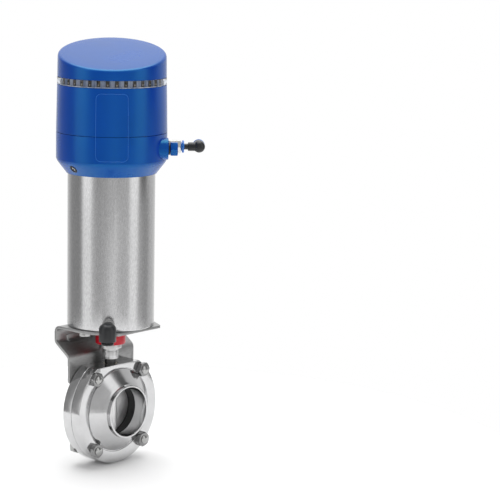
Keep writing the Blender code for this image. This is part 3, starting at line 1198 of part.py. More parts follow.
def build_light_ring(head):
    low = UPPER_HOUSING_TOP_Z + SEAT_GAP
    inner = HEAD_SHOULDER_RADIUS - LIGHT_RING_WALL
    ring("light_ring", inner, HEAD_SHOULDER_RADIUS, low, LIGHT_RING_TOP_Z, "clear_lens", head, steps=HEAD_STEPS)
    tip = inner - 2 * SEAT_GAP
    root = tip - WINDOW_DEPTH
    half = WINDOW_WIDTH / 2
    outline = []
    for i in range(WINDOW_COUNT):
        turn = Matrix.Rotation(2 * math.pi * (i + 0.5) / WINDOW_COUNT, 2)
        for x, y in ((root, -half), (tip, -half), (tip, half), (root, half)):
            outline.append(tuple(turn @ Vector((x, y))))
    hole = arc_points((0, 0), root - LED_RING_WALL, 0, 360 - 360 / MEDIUM_STEPS, MEDIUM_STEPS)
    led_ring = plate("led_ring", [outline, hole], WINDOW_HEIGHT, "led_dark", head)
    led_ring.location = (0, 0, low + WINDOW_HEIGHT / 2)


def build_top_cover(head):
    low = LIGHT_RING_TOP_Z + SEAT_GAP
    blank_low = low - COVER_BLANK_SKIRT
    blank = turned("top_cover", [(0, COVER_BLANK_TOP_Z), (HEAD_CROWN_RADIUS, COVER_BLANK_TOP_Z),
                                 (HEAD_SHOULDER_RADIUS, blank_low), (0, blank_low)], "head_blue", head,
                   steps=HEAD_STEPS, closed=False)
    reach = 2 * HEAD_RADIUS

    def sloping_cutter(name, centre_z):
        cutter = box(name, (-reach, -reach, 0), (reach, reach, reach), parent=head)
        cutter.rotation_euler = (COVER_TILT, 0, 0)
        cutter.location = (0, 0, centre_z)
        return cutter

    cut(blank, sloping_cutter("cover_slope", COVER_CENTRE_Z))
    bevel = blank.modifiers.new("rim", "BEVEL")
    bevel.width = COVER_RIM_RADIUS
    bevel.segments = 2
    bevel.limit_method = "ANGLE"
    bevel.angle_limit = math.radians(40)
    cavity = turned("cover_cavity", [(0, COVER_BLANK_TOP_Z), (HEAD_CROWN_RADIUS - HEAD_WALL, COVER_BLANK_TOP_Z),
                                     (HEAD_SHOULDER_RADIUS - HEAD_WALL, blank_low - CUT_MARGIN),
                                     (0, blank_low - CUT_MARGIN)], parent=head, steps=HEAD_STEPS, closed=False)
    cut(cavity, sloping_cutter("cavity_slope", COVER_CENTRE_Z - HEAD_WALL))
    cut(blank, box("cover_skirt_cutter", (-reach, -reach, 0), (reach, reach, low), parent=head), cavity)


def build_cable_gland(gland_axis):
    collar_start = PORT_FACE + SEAT_GAP
    nut_start = collar_start + GLAND_COLLAR_LENGTH + SEAT_GAP
    nut_end = nut_start + GLAND_NUT_LENGTH
    thread_end = nut_start + GLAND_THREAD_IN_NUT
    profile = [(GLAND_THREAD_RADIUS, thread_end), (GLAND_THREAD_RADIUS, nut_start - SEAT_GAP),
               (GLAND_COLLAR_RADIUS, nut_start - SEAT_GAP), (GLAND_COLLAR_RADIUS, collar_start),
               (GLAND_THREAD_RADIUS, collar_start), (GLAND_THREAD_RADIUS, PORT_THREAD_START),
               (GLAND_BORE_RADIUS, PORT_THREAD_START), (GLAND_BORE_RADIUS, thread_end)]
    turned("cable_gland", profile, "black_plastic", gland_axis, steps=SMALL_STEPS)
    nut = hexagon("gland_nut", GLAND_ACROSS_FLATS, nut_start, nut_end, "head_blue", gland_axis)
    cut(nut, rod("gland_nut_socket", GLAND_THREAD_RADIUS + SEAT_GAP, 0, thread_end + SEAT_GAP, parent=gland_axis),
        rod("gland_nut_bore", GLAND_BORE_RADIUS, 0, nut_end + CUT_MARGIN, parent=gland_axis))


def build_supply_fitting(supply_axis):
    fitting = hexagon("supply_fitting", SUPPLY_ACROSS_FLATS, SUPPLY_HEX_START, SUPPLY_HEX_END, "nickel", supply_axis)
    thread = rod("supply_thread", SUPPLY_THREAD_RADIUS, PORT_THREAD_START, SUPPLY_HEX_START + CUT_MARGIN,
                 parent=supply_axis)
    join(fitting, thread)
    cut(fitting, fitting_bore("supply_bore", AIR_HOSE_RADIUS, 0, SUPPLY_HEX_END, supply_axis))
    release_ring("supply_release_ring", AIR_HOSE_RADIUS, SUPPLY_HEX_END + RELEASE_RING_STANDOFF, supply_axis,
                 "release_blue")


def build_plug_elbow(swivel):
    """An elbow with a plain stem that plugs into the supply fitting."""
    body = elbow("plug_elbow", PLUG_ELBOW_RADIUS, PLUG_ELBOW_LEG, swivel, PLUG_ELBOW_REACH, PLUG_KNUCKLE_START,
                 PLUG_KNUCKLE_RADIUS)
    stem = rod("plug_elbow_stem", AIR_HOSE_RADIUS - SEAL_GAP, PLUG_STEM_START, PLUG_KNUCKLE_START + CUT_MARGIN,
               parent=swivel)
    join(body, stem)
    cut(body, rod("plug_elbow_way", AIR_WAY_RADIUS, PLUG_STEM_START - CUT_MARGIN, PLUG_ELBOW_REACH, parent=swivel))
    released = release_ring("plug_elbow_release_ring", AIR_HOSE_RADIUS, RELEASE_RING_STANDOFF, swivel,
                            "release_blue")
    turn_to_leg(released, PLUG_ELBOW_REACH, PLUG_ELBOW_LEG)


def finish_parts():
    """Apply each part's modifiers, then shade it smooth with sharp edges where its faces turn."""
    graph = bpy.context.evaluated_depsgraph_get()
    parts = [obj for obj in PARTS.objects if obj.type == "MESH"]
    shaped = [bpy.data.meshes.new_from_object(obj.evaluated_get(graph)) for obj in parts]
    for obj, mesh in zip(parts, shaped):
        obj.modifiers.clear()
        obj.data = mesh
        mesh.name = obj.name
        mesh.shade_smooth()
        mesh.set_sharp_from_angle(angle=math.radians(35))


def build():
    turning = axis_empty("stem_axis")
    sliding = axis_empty("piston_axis")
    head = axis_empty("head_axis", side=(math.cos(HEAD_TURN), math.sin(HEAD_TURN), 0))
    right = Vector((math.cos(HEAD_TURN), math.sin(HEAD_TURN), 0))
    back = Vector((-math.sin(HEAD_TURN), math.cos(HEAD_TURN), 0))
    gland_axis = axis_empty("gland_axis", back * GLAND_Y + Vector((0, 0, PORT_Z)), right, back)
    supply_axis = axis_empty("supply_axis", back * SUPPLY_Y + Vector((0, 0, PORT_Z)), right, back)
    plug_swivel = axis_empty("plug_elbow_axis", back * SUPPLY_Y + Vector((0, 0, PORT_Z)), right, back)
    tube_port = tube_port_axis("tube_port_axis")
    elbow_swivel = tube_port_axis("air_elbow_axis")
    screw_axis = adapter_screw_axis()
    bpy.context.view_layer.update()

    build_body_halves()
    build_body_seal()
    build_stem_bearings()
    build_bolts()
    build_disc(turning)
    build_coupling(turning)
    build_bracket()
    build_bracket_screws()
    build_tube(tube_port)
    build_bottom_cap(tube_port)
    build_top_cap()
    build_guide_tube()
    build_cam_shaft(turning)
    build_shaft_bearings()
    build_position_target(turning)
    build_piston(sliding)
    build_spring()
    build_actuator_elbow(elbow_swivel)
    build_adapter(head, screw_axis)
    build_adapter_screw(screw_axis)
    build_lower_housing(head, gland_axis, supply_axis)
    build_upper_housing(head)
    build_solenoid(head)
    build_light_ring(head)
    build_top_cover(head)
    build_cable_gland(gland_axis)
    build_supply_fitting(supply_axis)
    build_plug_elbow(plug_swivel)
    finish_parts()


build()
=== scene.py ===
# Looks of the pneumatic butterfly valve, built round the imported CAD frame.
# Metres, in the frame's own axes: origin where the stem crosses the pipe, +X along the pipe, +Z up the stem.

import math

import bmesh
import bpy
from mathutils import Matrix, Vector


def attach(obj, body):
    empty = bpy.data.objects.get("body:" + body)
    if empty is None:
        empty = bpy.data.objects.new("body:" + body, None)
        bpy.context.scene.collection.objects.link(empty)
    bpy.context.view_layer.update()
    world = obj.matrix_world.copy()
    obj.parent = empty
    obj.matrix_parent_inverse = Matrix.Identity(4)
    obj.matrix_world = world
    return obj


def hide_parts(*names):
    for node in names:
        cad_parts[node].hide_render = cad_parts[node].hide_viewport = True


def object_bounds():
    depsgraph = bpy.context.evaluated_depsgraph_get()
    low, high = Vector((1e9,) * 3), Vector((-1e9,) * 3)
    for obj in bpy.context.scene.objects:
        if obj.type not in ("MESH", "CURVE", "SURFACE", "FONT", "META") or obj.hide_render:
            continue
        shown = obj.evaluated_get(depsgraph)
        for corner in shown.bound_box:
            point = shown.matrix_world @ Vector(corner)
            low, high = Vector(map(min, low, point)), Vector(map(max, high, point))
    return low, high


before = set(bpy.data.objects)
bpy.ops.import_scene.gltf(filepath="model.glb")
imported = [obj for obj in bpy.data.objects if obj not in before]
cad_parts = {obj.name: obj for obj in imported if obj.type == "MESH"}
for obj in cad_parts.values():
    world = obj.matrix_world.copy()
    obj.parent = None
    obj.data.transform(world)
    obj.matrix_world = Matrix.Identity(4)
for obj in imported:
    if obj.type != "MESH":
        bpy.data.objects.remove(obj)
cad_low, cad_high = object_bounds()

MM = 0.001
WORLD = Matrix.Identity(4)

# Steps round a turned piece, by its size
FINEST = 192
FINE = 128
MEDIUM = 64
SMALL = 40

# The gap between neighbouring pieces, as in the CAD, and the most of an edge that a fillet takes
GAP = 0.3 * MM
LONGEST_FILLET = 0.45

# Hexagons, as shares of their width across the flats, and how steeply their corners are turned down
HEX_CORNER = 1 / math.sqrt(3)
HEX_END = 0.48
HEX_SLOPE = 1.15 * math.tan(math.radians(30))
HALF_HEX_STEP = math.pi / 6

# Camera, matched to the photograph in its own 500 x 500 frame
PICTURE_TURN = math.radians(45.2)
CAMERA_DISTANCE = 1985.3 * MM
CAMERA_HEIGHT = 498.3 * MM
CAMERA_YAW = math.radians(3.916)
CAMERA_PITCH = math.radians(9.686)
CAMERA_ROLL = math.radians(1.020)
FOCAL_PIXELS = 2059.3
FRAME_PIXELS = 500
SENSOR = 36.0

# Studio: how bright the surroundings are in each direction, in degrees from the camera, + to the right
LOW_SURROUNDINGS = (
    (-180, 1.0), (-145, 0.60), (-125, 0.36), (-97, 0.33), (-86, 0.37), (-78, 1.02), (-57, 1.08),
    (-50, 0.66), (-40, 0.53), (-30, 0.49), (-16, 0.61), (0, 0.82), (8, 0.92), (18, 0.72), (30, 0.63),
    (45, 0.66), (54, 1.1), (70, 1.1), (80, 0.55), (97, 0.42), (110, 0.42), (122, 0.62), (145, 0.72),
    (180, 1.0),
)
HIGH_SURROUNDINGS = (
    (-180, 1.15), (-150, 0.90), (-125, 0.36), (-97, 0.30), (-86, 0.38), (-76, 1.25), (-56, 1.25),
    (-48, 0.60), (-38, 0.42), (-16, 0.50), (0, 0.60), (18, 0.55), (45, 0.60), (54, 1.2), (72, 1.2),
    (80, 0.40), (88, 0.14), (101, 0.14), (108, 0.60), (150, 0.90), (180, 1.2),
)
OVERHEAD_LEAN = math.radians(12)
OVERHEAD_LIGHT = 3.4
FLOOR_GLOW = 0.9
BACKDROP = 1.0
FLOOR_RADIUS = 420 * MM

# Where one light gives way to the next, as the share that a direction leans up, to the ceiling or down
HORIZON_BLEND = (-0.07, -0.01)
CEILING_BLEND = (0.78, 0.96)
FLOOR_BLEND = (0.35, 0.55)

# The head stands turned to the pipe, and its ports point to its right
HEAD = Matrix.Rotation(math.radians(45), 4, "Z")
HEAD_RIGHT = HEAD.to_3x3() @ Vector((1, 0, 0))
HEAD_BACK = HEAD.to_3x3() @ Vector((0, 1, 0))


def along(origin, out, side):
    """A frame whose Z axis runs along `out` and whose X axis runs along `side`."""
    z_axis = Vector(out).normalized()
    x_axis = Vector(side).normalized()
    y_axis = z_axis.cross(x_axis)
    turn = Matrix((x_axis, y_axis, z_axis)).transposed().to_4x4()
    return Matrix.Translation(Vector(origin)) @ turn


PIPE = along((0, 0, 0), (1, 0, 0), (0, 0, 1))


# Mesh helpers

def polar(radius, angle):
    return radius * math.cos(angle), radius * math.sin(angle)


def bend(first, corner, last, steps):
    """Points of a curve that leaves the line to a corner at `first` and joins the next one at `last`."""
    points = []
    for step in range(steps + 1):
        t = step / steps
        points.append(tuple(first * (1 - t) ** 2 + corner * 2 * t * (1 - t) + last * t ** 2))
    return points


def rounded(profile, radius):
    """Fillet a profile's corners. A corner's third number is its own fillet, in millimetres."""
    points = []
    for i, corner in enumerate(profile):
        here = Vector(corner[:2])
        size = corner[2] * MM if len(corner) > 2 else radius
        if size == 0 or here.x == 0:
            points.append(tuple(here))
            continue
        before = Vector(profile[i - 1][:2]) - here
        after = Vector(profile[(i + 1) % len(profile)][:2]) - here
        reach = min(size, before.length * LONGEST_FILLET, after.length * LONGEST_FILLET)
        first = here + before.normalized() * reach
        last = here + after.normalized() * reach
        points += bend(first, here, last, 3)
    return points


def band(inner, outer, foot, top, top_edge=0.25, foot_edge=0.25, inner_edge=0.25):
    """Profile of a plain ring, with its fillets in millimetres."""
    return [
        (inner, top, inner_edge), (outer, top, top_edge), (outer, foot, foot_edge), (inner, foot, inner_edge),
    ]


def rod(radius, foot, top, top_edge=0.25, foot_edge=0.25):
    """Profile of a plain round solid, with its fillets in millimetres."""
    return [(0, top), (radius, top, top_edge), (radius, foot, foot_edge), (0, foot)]


def mirrored(half):
    """A profile that is the same below height 0 as above it."""
    return half + [(corner[0], -corner[1], *corner[2:]) for corner in reversed(half)]


def linked(name, data):
    obj = bpy.data.objects.new(name, data)
    bpy.context.scene.collection.objects.link(obj)
    return obj


def paint(mesh, material):
    mesh.materials.clear()
    mesh.materials.append(material)


def shade(mesh, angle=35):
    """Smooth shading, with edges left sharp past an angle."""
    mesh.shade_smooth()
    mesh.set_sharp_from_angle(angle=math.radians(angle))


def new_piece(name, shape, place, material, sharp=35):
    mesh = bpy.data.meshes.new(name)
    bmesh.ops.recalc_face_normals(shape, faces=shape.faces)
    shape.to_mesh(mesh)
    shape.free()
    mesh.transform(place)
    shade(mesh, sharp)
    paint(mesh, material)
    return linked(name, mesh)


def lathe_shape(profile, steps):
    """Turn a profile round Z. One that starts on the axis ends there too, and any other is closed up."""
    shape = bmesh.new()
    rows = []
    for radius, z in profile:
        if radius == 0:
            rows.append([shape.verts.new((0, 0, z))])
            continue
        rows.append([shape.verts.new((*polar(radius, 2 * math.pi * i / steps), z)) for i in range(steps)])
    pairs = list(zip(rows, rows[1:]))
    if len(rows[0]) > 1:
        pairs.append((rows[-1], rows[0]))
    for upper, lower in pairs:
        for i in range(steps):
            j = (i + 1) % steps
            corners = [
                upper[i % len(upper)], lower[i % len(lower)], lower[j % len(lower)], upper[j % len(upper)],
            ]
            shape.faces.new(list(dict.fromkeys(corners)))
    return shape


def lathe(name, profile, material, place=WORLD, steps=MEDIUM, radius=0.25 * MM, sharp=35):
    """A turned piece from a profile of (radius, height) corners."""
    return new_piece(name, lathe_shape(rounded(profile, radius), steps), place, material, sharp)


def plug(material, place, *stretches, steps=SMALL):
    """A scratch solid for a cut, from stretches of (radius, foot, top) along its axis, the top one first."""
    profile = [(0, stretches[0][2])]
    for radius, foot, top in stretches:
        profile += [(radius, top), (radius, foot)]
    profile.append((0, stretches[-1][1]))
    return lathe("plug", profile, material, place, steps, radius=0)


def evaluated_mesh(obj):
    graph = bpy.context.evaluated_depsgraph_get()
    return bpy.data.meshes.new_from_object(obj.evaluated_get(graph))


def apply_modifiers(obj):
    mesh = evaluated_mesh(obj)
    obj.modifiers.clear()
    old = obj.data
    obj.data = mesh
    bpy.data.meshes.remove(old)


def soften(obj, width, angle, segments=2):
    """Round an object's sharp edges so that they catch light."""
    bevel = obj.modifiers.new("edges", "BEVEL")
    bevel.width = width
    bevel.segments = segments
    bevel.limit_method = "ANGLE"
    bevel.angle_limit = math.radians(angle)
    apply_modifiers(obj)
    shade(obj.data, 50)


def carve(obj, *others, operation="DIFFERENCE"):
    """Boolean with scratch pieces, which are removed afterwards."""
    for other in others:
        boolean = obj.modifiers.new("carve", "BOOLEAN")
        boolean.operation = operation
        boolean.solver = "EXACT"
        boolean.object = other
    apply_modifiers(obj)
    for other in others:
        bpy.data.objects.remove(other)
    shade(obj.data)


def hexagon(name, across_flats, foot, top, material, place, turn=0.0):
    shape = bmesh.new()
    corner = across_flats * HEX_CORNER
    seat = Matrix.Translation((0, 0, (foot + top) / 2)) @ Matrix.Rotation(turn, 4, "Z")
    bmesh.ops.create_cone(shape, cap_ends=True, segments=6, radius1=corner, radius2=corner, depth=top - foot,
                          matrix=seat)
    return new_piece(name, shape, place, material)


def hex_body(name, across_flats, foot, top, material, place, turn, chamfers):
    """A hexagon whose corners are turned down at the ends that `chamfers` names, as nuts and heads are."""
    nut = hexagon(name, across_flats, foot, top, material, place, turn)
    corner = across_flats * HEX_CORNER
    flat = across_flats * HEX_END
    drop = (corner - flat) * HEX_SLOPE
    outside = corner + 0.2 * MM
    upper = [(flat, top), (outside, top - drop)] if "top" in chamfers else [(outside, top)]
    lower = [(outside, foot + drop), (flat, foot)] if "foot" in chamfers else [(outside, foot)]
    profile = [(0, top), *upper, *lower, (0, foot)]
    barrel = new_piece(name + "_barrel", lathe_shape(profile, MEDIUM), place, material)
    carve(nut, barrel, operation="INTERSECT")
    soften(nut, 0.12 * MM, 25)
    return nut


def copy_of(node, name, material):
    """A new piece with the same shape as a CAD node, for finer edges."""
    obj = linked(name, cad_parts[node].data.copy())
    paint(obj.data, material)
    shape = bmesh.new()
    shape.from_mesh(obj.data)
    bmesh.ops.remove_doubles(shape, verts=shape.verts, dist=0.002 * MM)
    bmesh.ops.dissolve_limit(shape, angle_limit=math.radians(1), verts=shape.verts, edges=shape.edges)
    shape.to_mesh(obj.data)
    shape.free()
    return obj


def settle(piece, slot, *nodes, body="frame"):
    """The piece stands for CAD nodes, which it hides, and rides on a body. Its slot is not used."""
    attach(piece, body)
    if nodes:
        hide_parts(*nodes)


# Materials

# A texture that isn't stretched, and the range that most texture values fill
EVEN = (1, 1, 1)
TEXTURE_LOW = 0.3
TEXTURE_HIGH = 0.7


def set_inputs(node, **values):
    for name, value in values.items():
        node.inputs[name.replace("_", " ")].default_value = value


def new_node(tree, kind, **values):
    node = tree.nodes.new("ShaderNode" + kind)
    set_inputs(node, **values)
    return node


class Look:
    """A Principled material with its procedural inputs."""

    def __init__(self, name, colour, roughness, metallic=0.0, **sockets):
        self.material = bpy.data.materials.new(name)
        self.material.use_nodes = True
        self.tree = self.material.node_tree
        self.shader = self.tree.nodes["Principled BSDF"]
        set_inputs(self.shader, Base_Color=(*colour, 1.0), Roughness=roughness, Metallic=metallic, **sockets)
        self.place = new_node(self.tree, "TexCoord")

    def noise(self, scale, detail, roughness=0.55, stretch=EVEN):
        mapping = new_node(self.tree, "Mapping", Scale=stretch)
        self.tree.links.new(self.place.outputs["Object"], mapping.inputs["Vector"])
        node = new_node(self.tree, "TexNoise", Scale=scale, Detail=detail, Roughness=roughness)
        self.tree.links.new(mapping.outputs["Vector"], node.inputs["Vector"])
        return node.outputs["Fac"]

    def rings(self, scale, distortion):
        """Fine turning marks round the pipe's axis."""
        node = new_node(self.tree, "TexWave", Scale=scale, Distortion=distortion)
        node.wave_type = "RINGS"
        node.rings_direction = "X"
        self.tree.links.new(self.place.outputs["Object"], node.inputs["Vector"])
        return node.outputs["Fac"]

    def vary_roughness(self, value, low, high):
        node = new_node(self.tree, "MapRange", From_Min=TEXTURE_LOW, From_Max=TEXTURE_HIGH, To_Min=low,
                        To_Max=high)
        self.tree.links.new(value, node.inputs["Value"])
        self.tree.links.new(node.outputs["Result"], self.shader.inputs["Roughness"])

    def vary_colour(self, value, dark, light, start=TEXTURE_LOW, end=TEXTURE_HIGH):
        node = new_node(self.tree, "ValToRGB")
        node.color_ramp.elements[0].position = start
        node.color_ramp.elements[0].color = (*dark, 1.0)
        node.color_ramp.elements[1].position = end
        node.color_ramp.elements[1].color = (*light, 1.0)
        self.tree.links.new(value, node.inputs["Fac"])
        self.tree.links.new(node.outputs["Color"], self.shader.inputs["Base Color"])

    def bump(self, value, distance):
        node = new_node(self.tree, "Bump", Strength=1.0, Distance=distance)
        self.tree.links.new(value, node.inputs["Height"])
        self.tree.links.new(node.outputs["Normal"], self.shader.inputs["Normal"])


def scaled(colour, share):
    return tuple(c * share for c in colour)


def brushed(name, colour, roughness, stretch=EVEN, bump=0.01 * MM, spread=0.12):
    """Metal with fine scratches: the smaller a number in `stretch`, the longer they are along that axis."""
    look = Look(name, colour, roughness, 1.0)
    fine = look.noise(900, 5.0, 0.6, stretch)
    cloud = look.noise(35, 3.0)
    look.vary_colour(fine, scaled(colour, 0.86), scaled(colour, 1.08))
    look.vary_roughness(cloud, roughness - spread / 2, roughness + spread / 2)
    look.bump(fine, bump)
    return look.material


def turned_metal(name, colour, roughness, ring_scale, bump):
    """Machined metal with faint rings round its axis."""
    look = Look(name, colour, roughness, 1.0)
    marks = look.rings(ring_scale, 0.4)
    cloud = look.noise(60, 4.0)
    look.vary_colour(cloud, scaled(colour, 0.9), scaled(colour, 1.05))
    look.vary_roughness(cloud, roughness - 0.05, roughness + 0.06)
    look.bump(marks, bump)
    return look.material


def moulded(name, colour, roughness, grain=1400, bump=0.012 * MM, level=0.5, tint=(1, 1, 1)):
    """Moulded plastic with a fine grain and slight colour drift."""
    look = Look(name, colour, roughness, 0.0, Specular_IOR_Level=level, Specular_Tint=(*tint, 1.0))
    skin = look.noise(grain, 3.0)
    cloud = look.noise(25, 3.0)
    look.vary_colour(cloud, scaled(colour, 0.94), scaled(colour, 1.06))
    look.vary_roughness(cloud, roughness - 0.03, roughness + 0.04)
    look.bump(skin, bump)
    return look.material


def make_materials():
    return {
        "tube": brushed("tube_brushed", (0.60, 0.60, 0.605), 0.17, (1, 1, 0.35), 0.0035 * MM, 0.05),
        "sheet": brushed("bracket_sheet", (0.38, 0.38, 0.38), 0.42, (1, 0.2, 1), 0.002 * MM, 0.06),
        "body": turned_metal("body_turned", (0.62, 0.62, 0.625), 0.11, 900, 0.0015 * MM),
        "disc": turned_metal("disc_satin", (0.88, 0.88, 0.88), 0.50, 700, 0.004 * MM),
        "shaft": brushed("shaft_turned", (0.60, 0.60, 0.60), 0.30, (0.1, 0.1, 1), 0.0001 * MM, 0.04),
        "bolt": brushed("bolt_steel", (0.44, 0.44, 0.435), 0.17, EVEN, 0.003 * MM, 0.06),
        "nut": brushed("nut_steel", (0.28, 0.28, 0.28), 0.17, EVEN, 0.003 * MM, 0.06),
        "hidden": brushed("inner_steel", (0.55, 0.55, 0.54), 0.4, (1, 1, 0.2)),
        # The stem is painted near black: painted shade on the stub between the body and the coupling
        "stem_painted_shade": brushed("shaded_stem", (0.10, 0.10, 0.10), 0.45, (0.1, 0.1, 1), 0.0001 * MM),
        "spring": brushed("spring_steel", (0.22, 0.22, 0.225), 0.42),
        "nickel": brushed("nickel_plate", (0.72, 0.70, 0.66), 0.14, EVEN, 0.003 * MM, 0.06),
        "aluminium": brushed("turned_aluminium", (0.68, 0.69, 0.70), 0.36),
        "rubber": moulded("seal_rubber", (0.010, 0.010, 0.011), 0.55, grain=2500),
        "bush": moulded("bearing_plastic", (0.70, 0.67, 0.56), 0.5),
        "red": moulded("indicator_red", (0.56, 0.004, 0.018), 0.30),
        "blue": moulded("head_blue", (0.0, 0.031, 0.345), 0.24, grain=1500, bump=0.003 * MM, level=1.0,
                        tint=(0.15, 0.9, 1.0)),
        # The panel's edge is painted a lighter blue than the head: a painted highlight on its raised edge
        "rim": moulded("panel_edge_painted_highlight", (0.004, 0.12, 0.55), 0.28),
        "release": moulded("release_blue", (0.02, 0.19, 0.66), 0.30),
        "black": moulded("black_plastic", (0.012, 0.013, 0.015), 0.29, grain=1800, bump=0.008 * MM),
        "board": moulded("circuit_board", (0.015, 0.14, 0.05), 0.45),
        # Near-black paint for a cut bore: painted shade inside the hole
        "dark": moulded("bore_painted_shade", (0.01, 0.012, 0.02), 0.6),
        "chip": moulded("light_chip", (0.55, 0.47, 0.33), 0.4, grain=2600),
        "lens": lens_material(),
        "guide": guide_material(),
        "window": window_material(),
    }


def lens_material():
    """Clear band, almost as smooth as glass, with little glare of its own."""
    look = Look("light_ring_lens", (0.80, 0.84, 0.92), 0.03, 0.0, Transmission_Weight=1.0, IOR=1.25,
                Specular_IOR_Level=0.2)
    cloud = look.noise(120, 3.0)
    look.vary_roughness(cloud, 0.02, 0.06)
    return look.material


def guide_material():
    """Pale light guide between the windows, faintly blue and streaked from top to bottom."""
    look = Look("light_guide", (0.40, 0.43, 0.50), 0.35)
    streaks = look.noise(260, 2.0, stretch=(1, 1, 0.1))
    look.vary_colour(streaks, (0.20, 0.25, 0.37), (0.62, 0.64, 0.68), 0.38, 0.62)
    look.vary_roughness(streaks, 0.3, 0.42)
    return look.material


def window_material():
    """Dark amber window, browner in scattered spots."""
    look = Look("light_window", (0.05, 0.04, 0.02), 0.3)
    spots = look.noise(700, 2.0, stretch=(1, 1, 0.6))
    look.vary_colour(spots, (0.018, 0.013, 0.008), (0.17, 0.12, 0.05), 0.42, 0.68)
    look.vary_roughness(spots, 0.25, 0.45)
    look.bump(spots, 0.03 * MM)
    return look.material


# Valve body, seal and disc: radii from the pipe's axis, and faces as distances along it from the split

PIPE_RADIUS = 26.2 * MM
PIPE_BORE = 24.3 * MM
PIPE_END = 26.3 * MM
CONE_TOP_RADIUS = 28.2 * MM
CONE_TOP = 20.5 * MM
CONE_FOOT_RADIUS = 40.7 * MM
CONE_FOOT = 12.3 * MM
GROOVE_RADIUS = 41.9 * MM
GROOVE_FLOOR = 10.5 * MM
FLANGE_RADIUS = 53.6 * MM
FLANGE_FACE = 11.3 * MM
FLANGE_TOP = 45.2 * MM
BEVEL_SHORT = 0.4 * MM
BEVEL_LONG = 0.5 * MM
SPLIT = 0.15 * MM
BODY_STEPS = 160
SEAL_RADIUS = 34.0 * MM
SEAL_HALF = 10.4 * MM
SEAL_CLEARANCE = 0.15 * MM
DISC_RADIUS = 24.0 * MM
DISC_EDGE_HALF = 1.4 * MM
BLADE_RADIUS = 19.0 * MM
BLADE_HALF = 2.1 * MM
HUB_RADIUS = 7.0 * MM
HUB_FACE = 4.4 * MM
HUB_HALF = 22.0 * MM
STEM_RADIUS = 5.5 * MM
STEM_TOP = 62.0 * MM
STEM_TAPER_FOOT = 49.6 * MM
STEM_TIP_RADIUS = 5.2 * MM
STEM_FOOT = -38.8 * MM
BUSH_HOLE = 7.3 * MM
ABOVE_FLANGE = 50 * MM


def body_profile():
    seat_radius = SEAL_RADIUS + GAP
    seat_floor = SEAL_HALF + GAP
    return [
        (PIPE_RADIUS, PIPE_END, 0.25),
        (PIPE_RADIUS, CONE_TOP + 1.0 * MM, 0.3),
        (CONE_TOP_RADIUS, CONE_TOP, 0.8),
        (CONE_FOOT_RADIUS, CONE_FOOT, 0.5),
        (CONE_FOOT_RADIUS, GROOVE_FLOOR, 0.2),
        (GROOVE_RADIUS, GROOVE_FLOOR, 0.2),
        (GROOVE_RADIUS, FLANGE_FACE, 0.25),
        (FLANGE_RADIUS - BEVEL_SHORT, FLANGE_FACE, 0.3),
        (FLANGE_RADIUS, FLANGE_FACE - BEVEL_LONG, 0.4),
        (FLANGE_RADIUS, SPLIT + BEVEL_SHORT, 0.4),
        (FLANGE_RADIUS - BEVEL_LONG, SPLIT, 0.3),
        (seat_radius, SPLIT, 0),
        (seat_radius, seat_floor, 0),
        (PIPE_BORE, seat_floor, 0.2),
        (PIPE_BORE, PIPE_END, 0.3),
    ]


def everything_in(shape):
    return shape.verts[:] + shape.edges[:] + shape.faces[:]


def trim_flat(shape, height):
    """Cut a shape off above a plane square to local X and close the cut."""
    cut = bmesh.ops.bisect_plane(shape, geom=everything_in(shape), plane_co=(height, 0, 0),
                                 plane_no=(1, 0, 0), clear_outer=True)
    edges = [item for item in cut["geom_cut"] if isinstance(item, bmesh.types.BMEdge)]
    bmesh.ops.holes_fill(shape, edges=edges)


def build_body(looks):
    steel = looks["body"]
    for side, where in ((1, "front"), (-1, "back")):
        shape = lathe_shape(rounded(body_profile(), 0), BODY_STEPS)
        trim_flat(shape, FLANGE_TOP)
        half = new_piece("body_half_" + where, shape, Matrix.Scale(side, 4, (1, 0, 0)) @ PIPE, steel)
        if side < 0:
            half.data.flip_normals()
        stem_hole = plug(steel, WORLD, (BUSH_HOLE, SEAL_RADIUS, ABOVE_FLANGE), steps=MEDIUM)
        pivot_hole = plug(steel, WORLD, (BUSH_HOLE, STEM_FOOT - GAP, -SEAL_RADIUS), steps=MEDIUM)
        carve(half, stem_hole, pivot_hole)
        settle(half, "machined_steel", where + "_body_half")


def build_seal(looks):
    half = [(PIPE_BORE, SEAL_HALF, 0.8), (SEAL_RADIUS, SEAL_HALF)]
    seal = lathe("seat_ring", mirrored(half), looks["rubber"], PIPE, FINE)
    hole = (STEM_RADIUS + SEAL_CLEARANCE, -40 * MM, 40 * MM)
    carve(seal, plug(looks["rubber"], WORLD, hole, steps=MEDIUM))
    settle(seal, "seal_rubber", "seat_seal")


def build_disc(looks):
    """A thin blade, thicker round its hub, and the stem above and below it."""
    half = [
        (0, HUB_FACE), (HUB_RADIUS, HUB_FACE, 1.5), (BLADE_RADIUS, BLADE_HALF, 3.0),
        (DISC_RADIUS, DISC_EDGE_HALF, 0.5),
    ]
    disc = lathe("disc_blade", mirrored(half), looks["disc"], PIPE, FINE)
    hub = lathe("disc_hub", rod(HUB_RADIUS, -HUB_HALF, HUB_HALF, 0.4, 0.4), looks["disc"])
    carve(disc, hub, operation="UNION")
    soften(disc, 0.5 * MM, 25, segments=3)
    settle(disc, "machined_steel", "disc", body="stem")
    # The stem's near-black paint is painted shade for the stub that shows between the body and the coupling
    profile = [
        (0, STEM_TOP), (STEM_TIP_RADIUS, STEM_TOP, 0.4), (STEM_RADIUS, STEM_TAPER_FOOT),
        (STEM_RADIUS, STEM_FOOT, 0.6), (0, STEM_FOOT),
    ]
    settle(lathe("disc_stem", profile, looks["stem_painted_shade"]), "machined_steel", body="stem")


# Fasteners and bracket

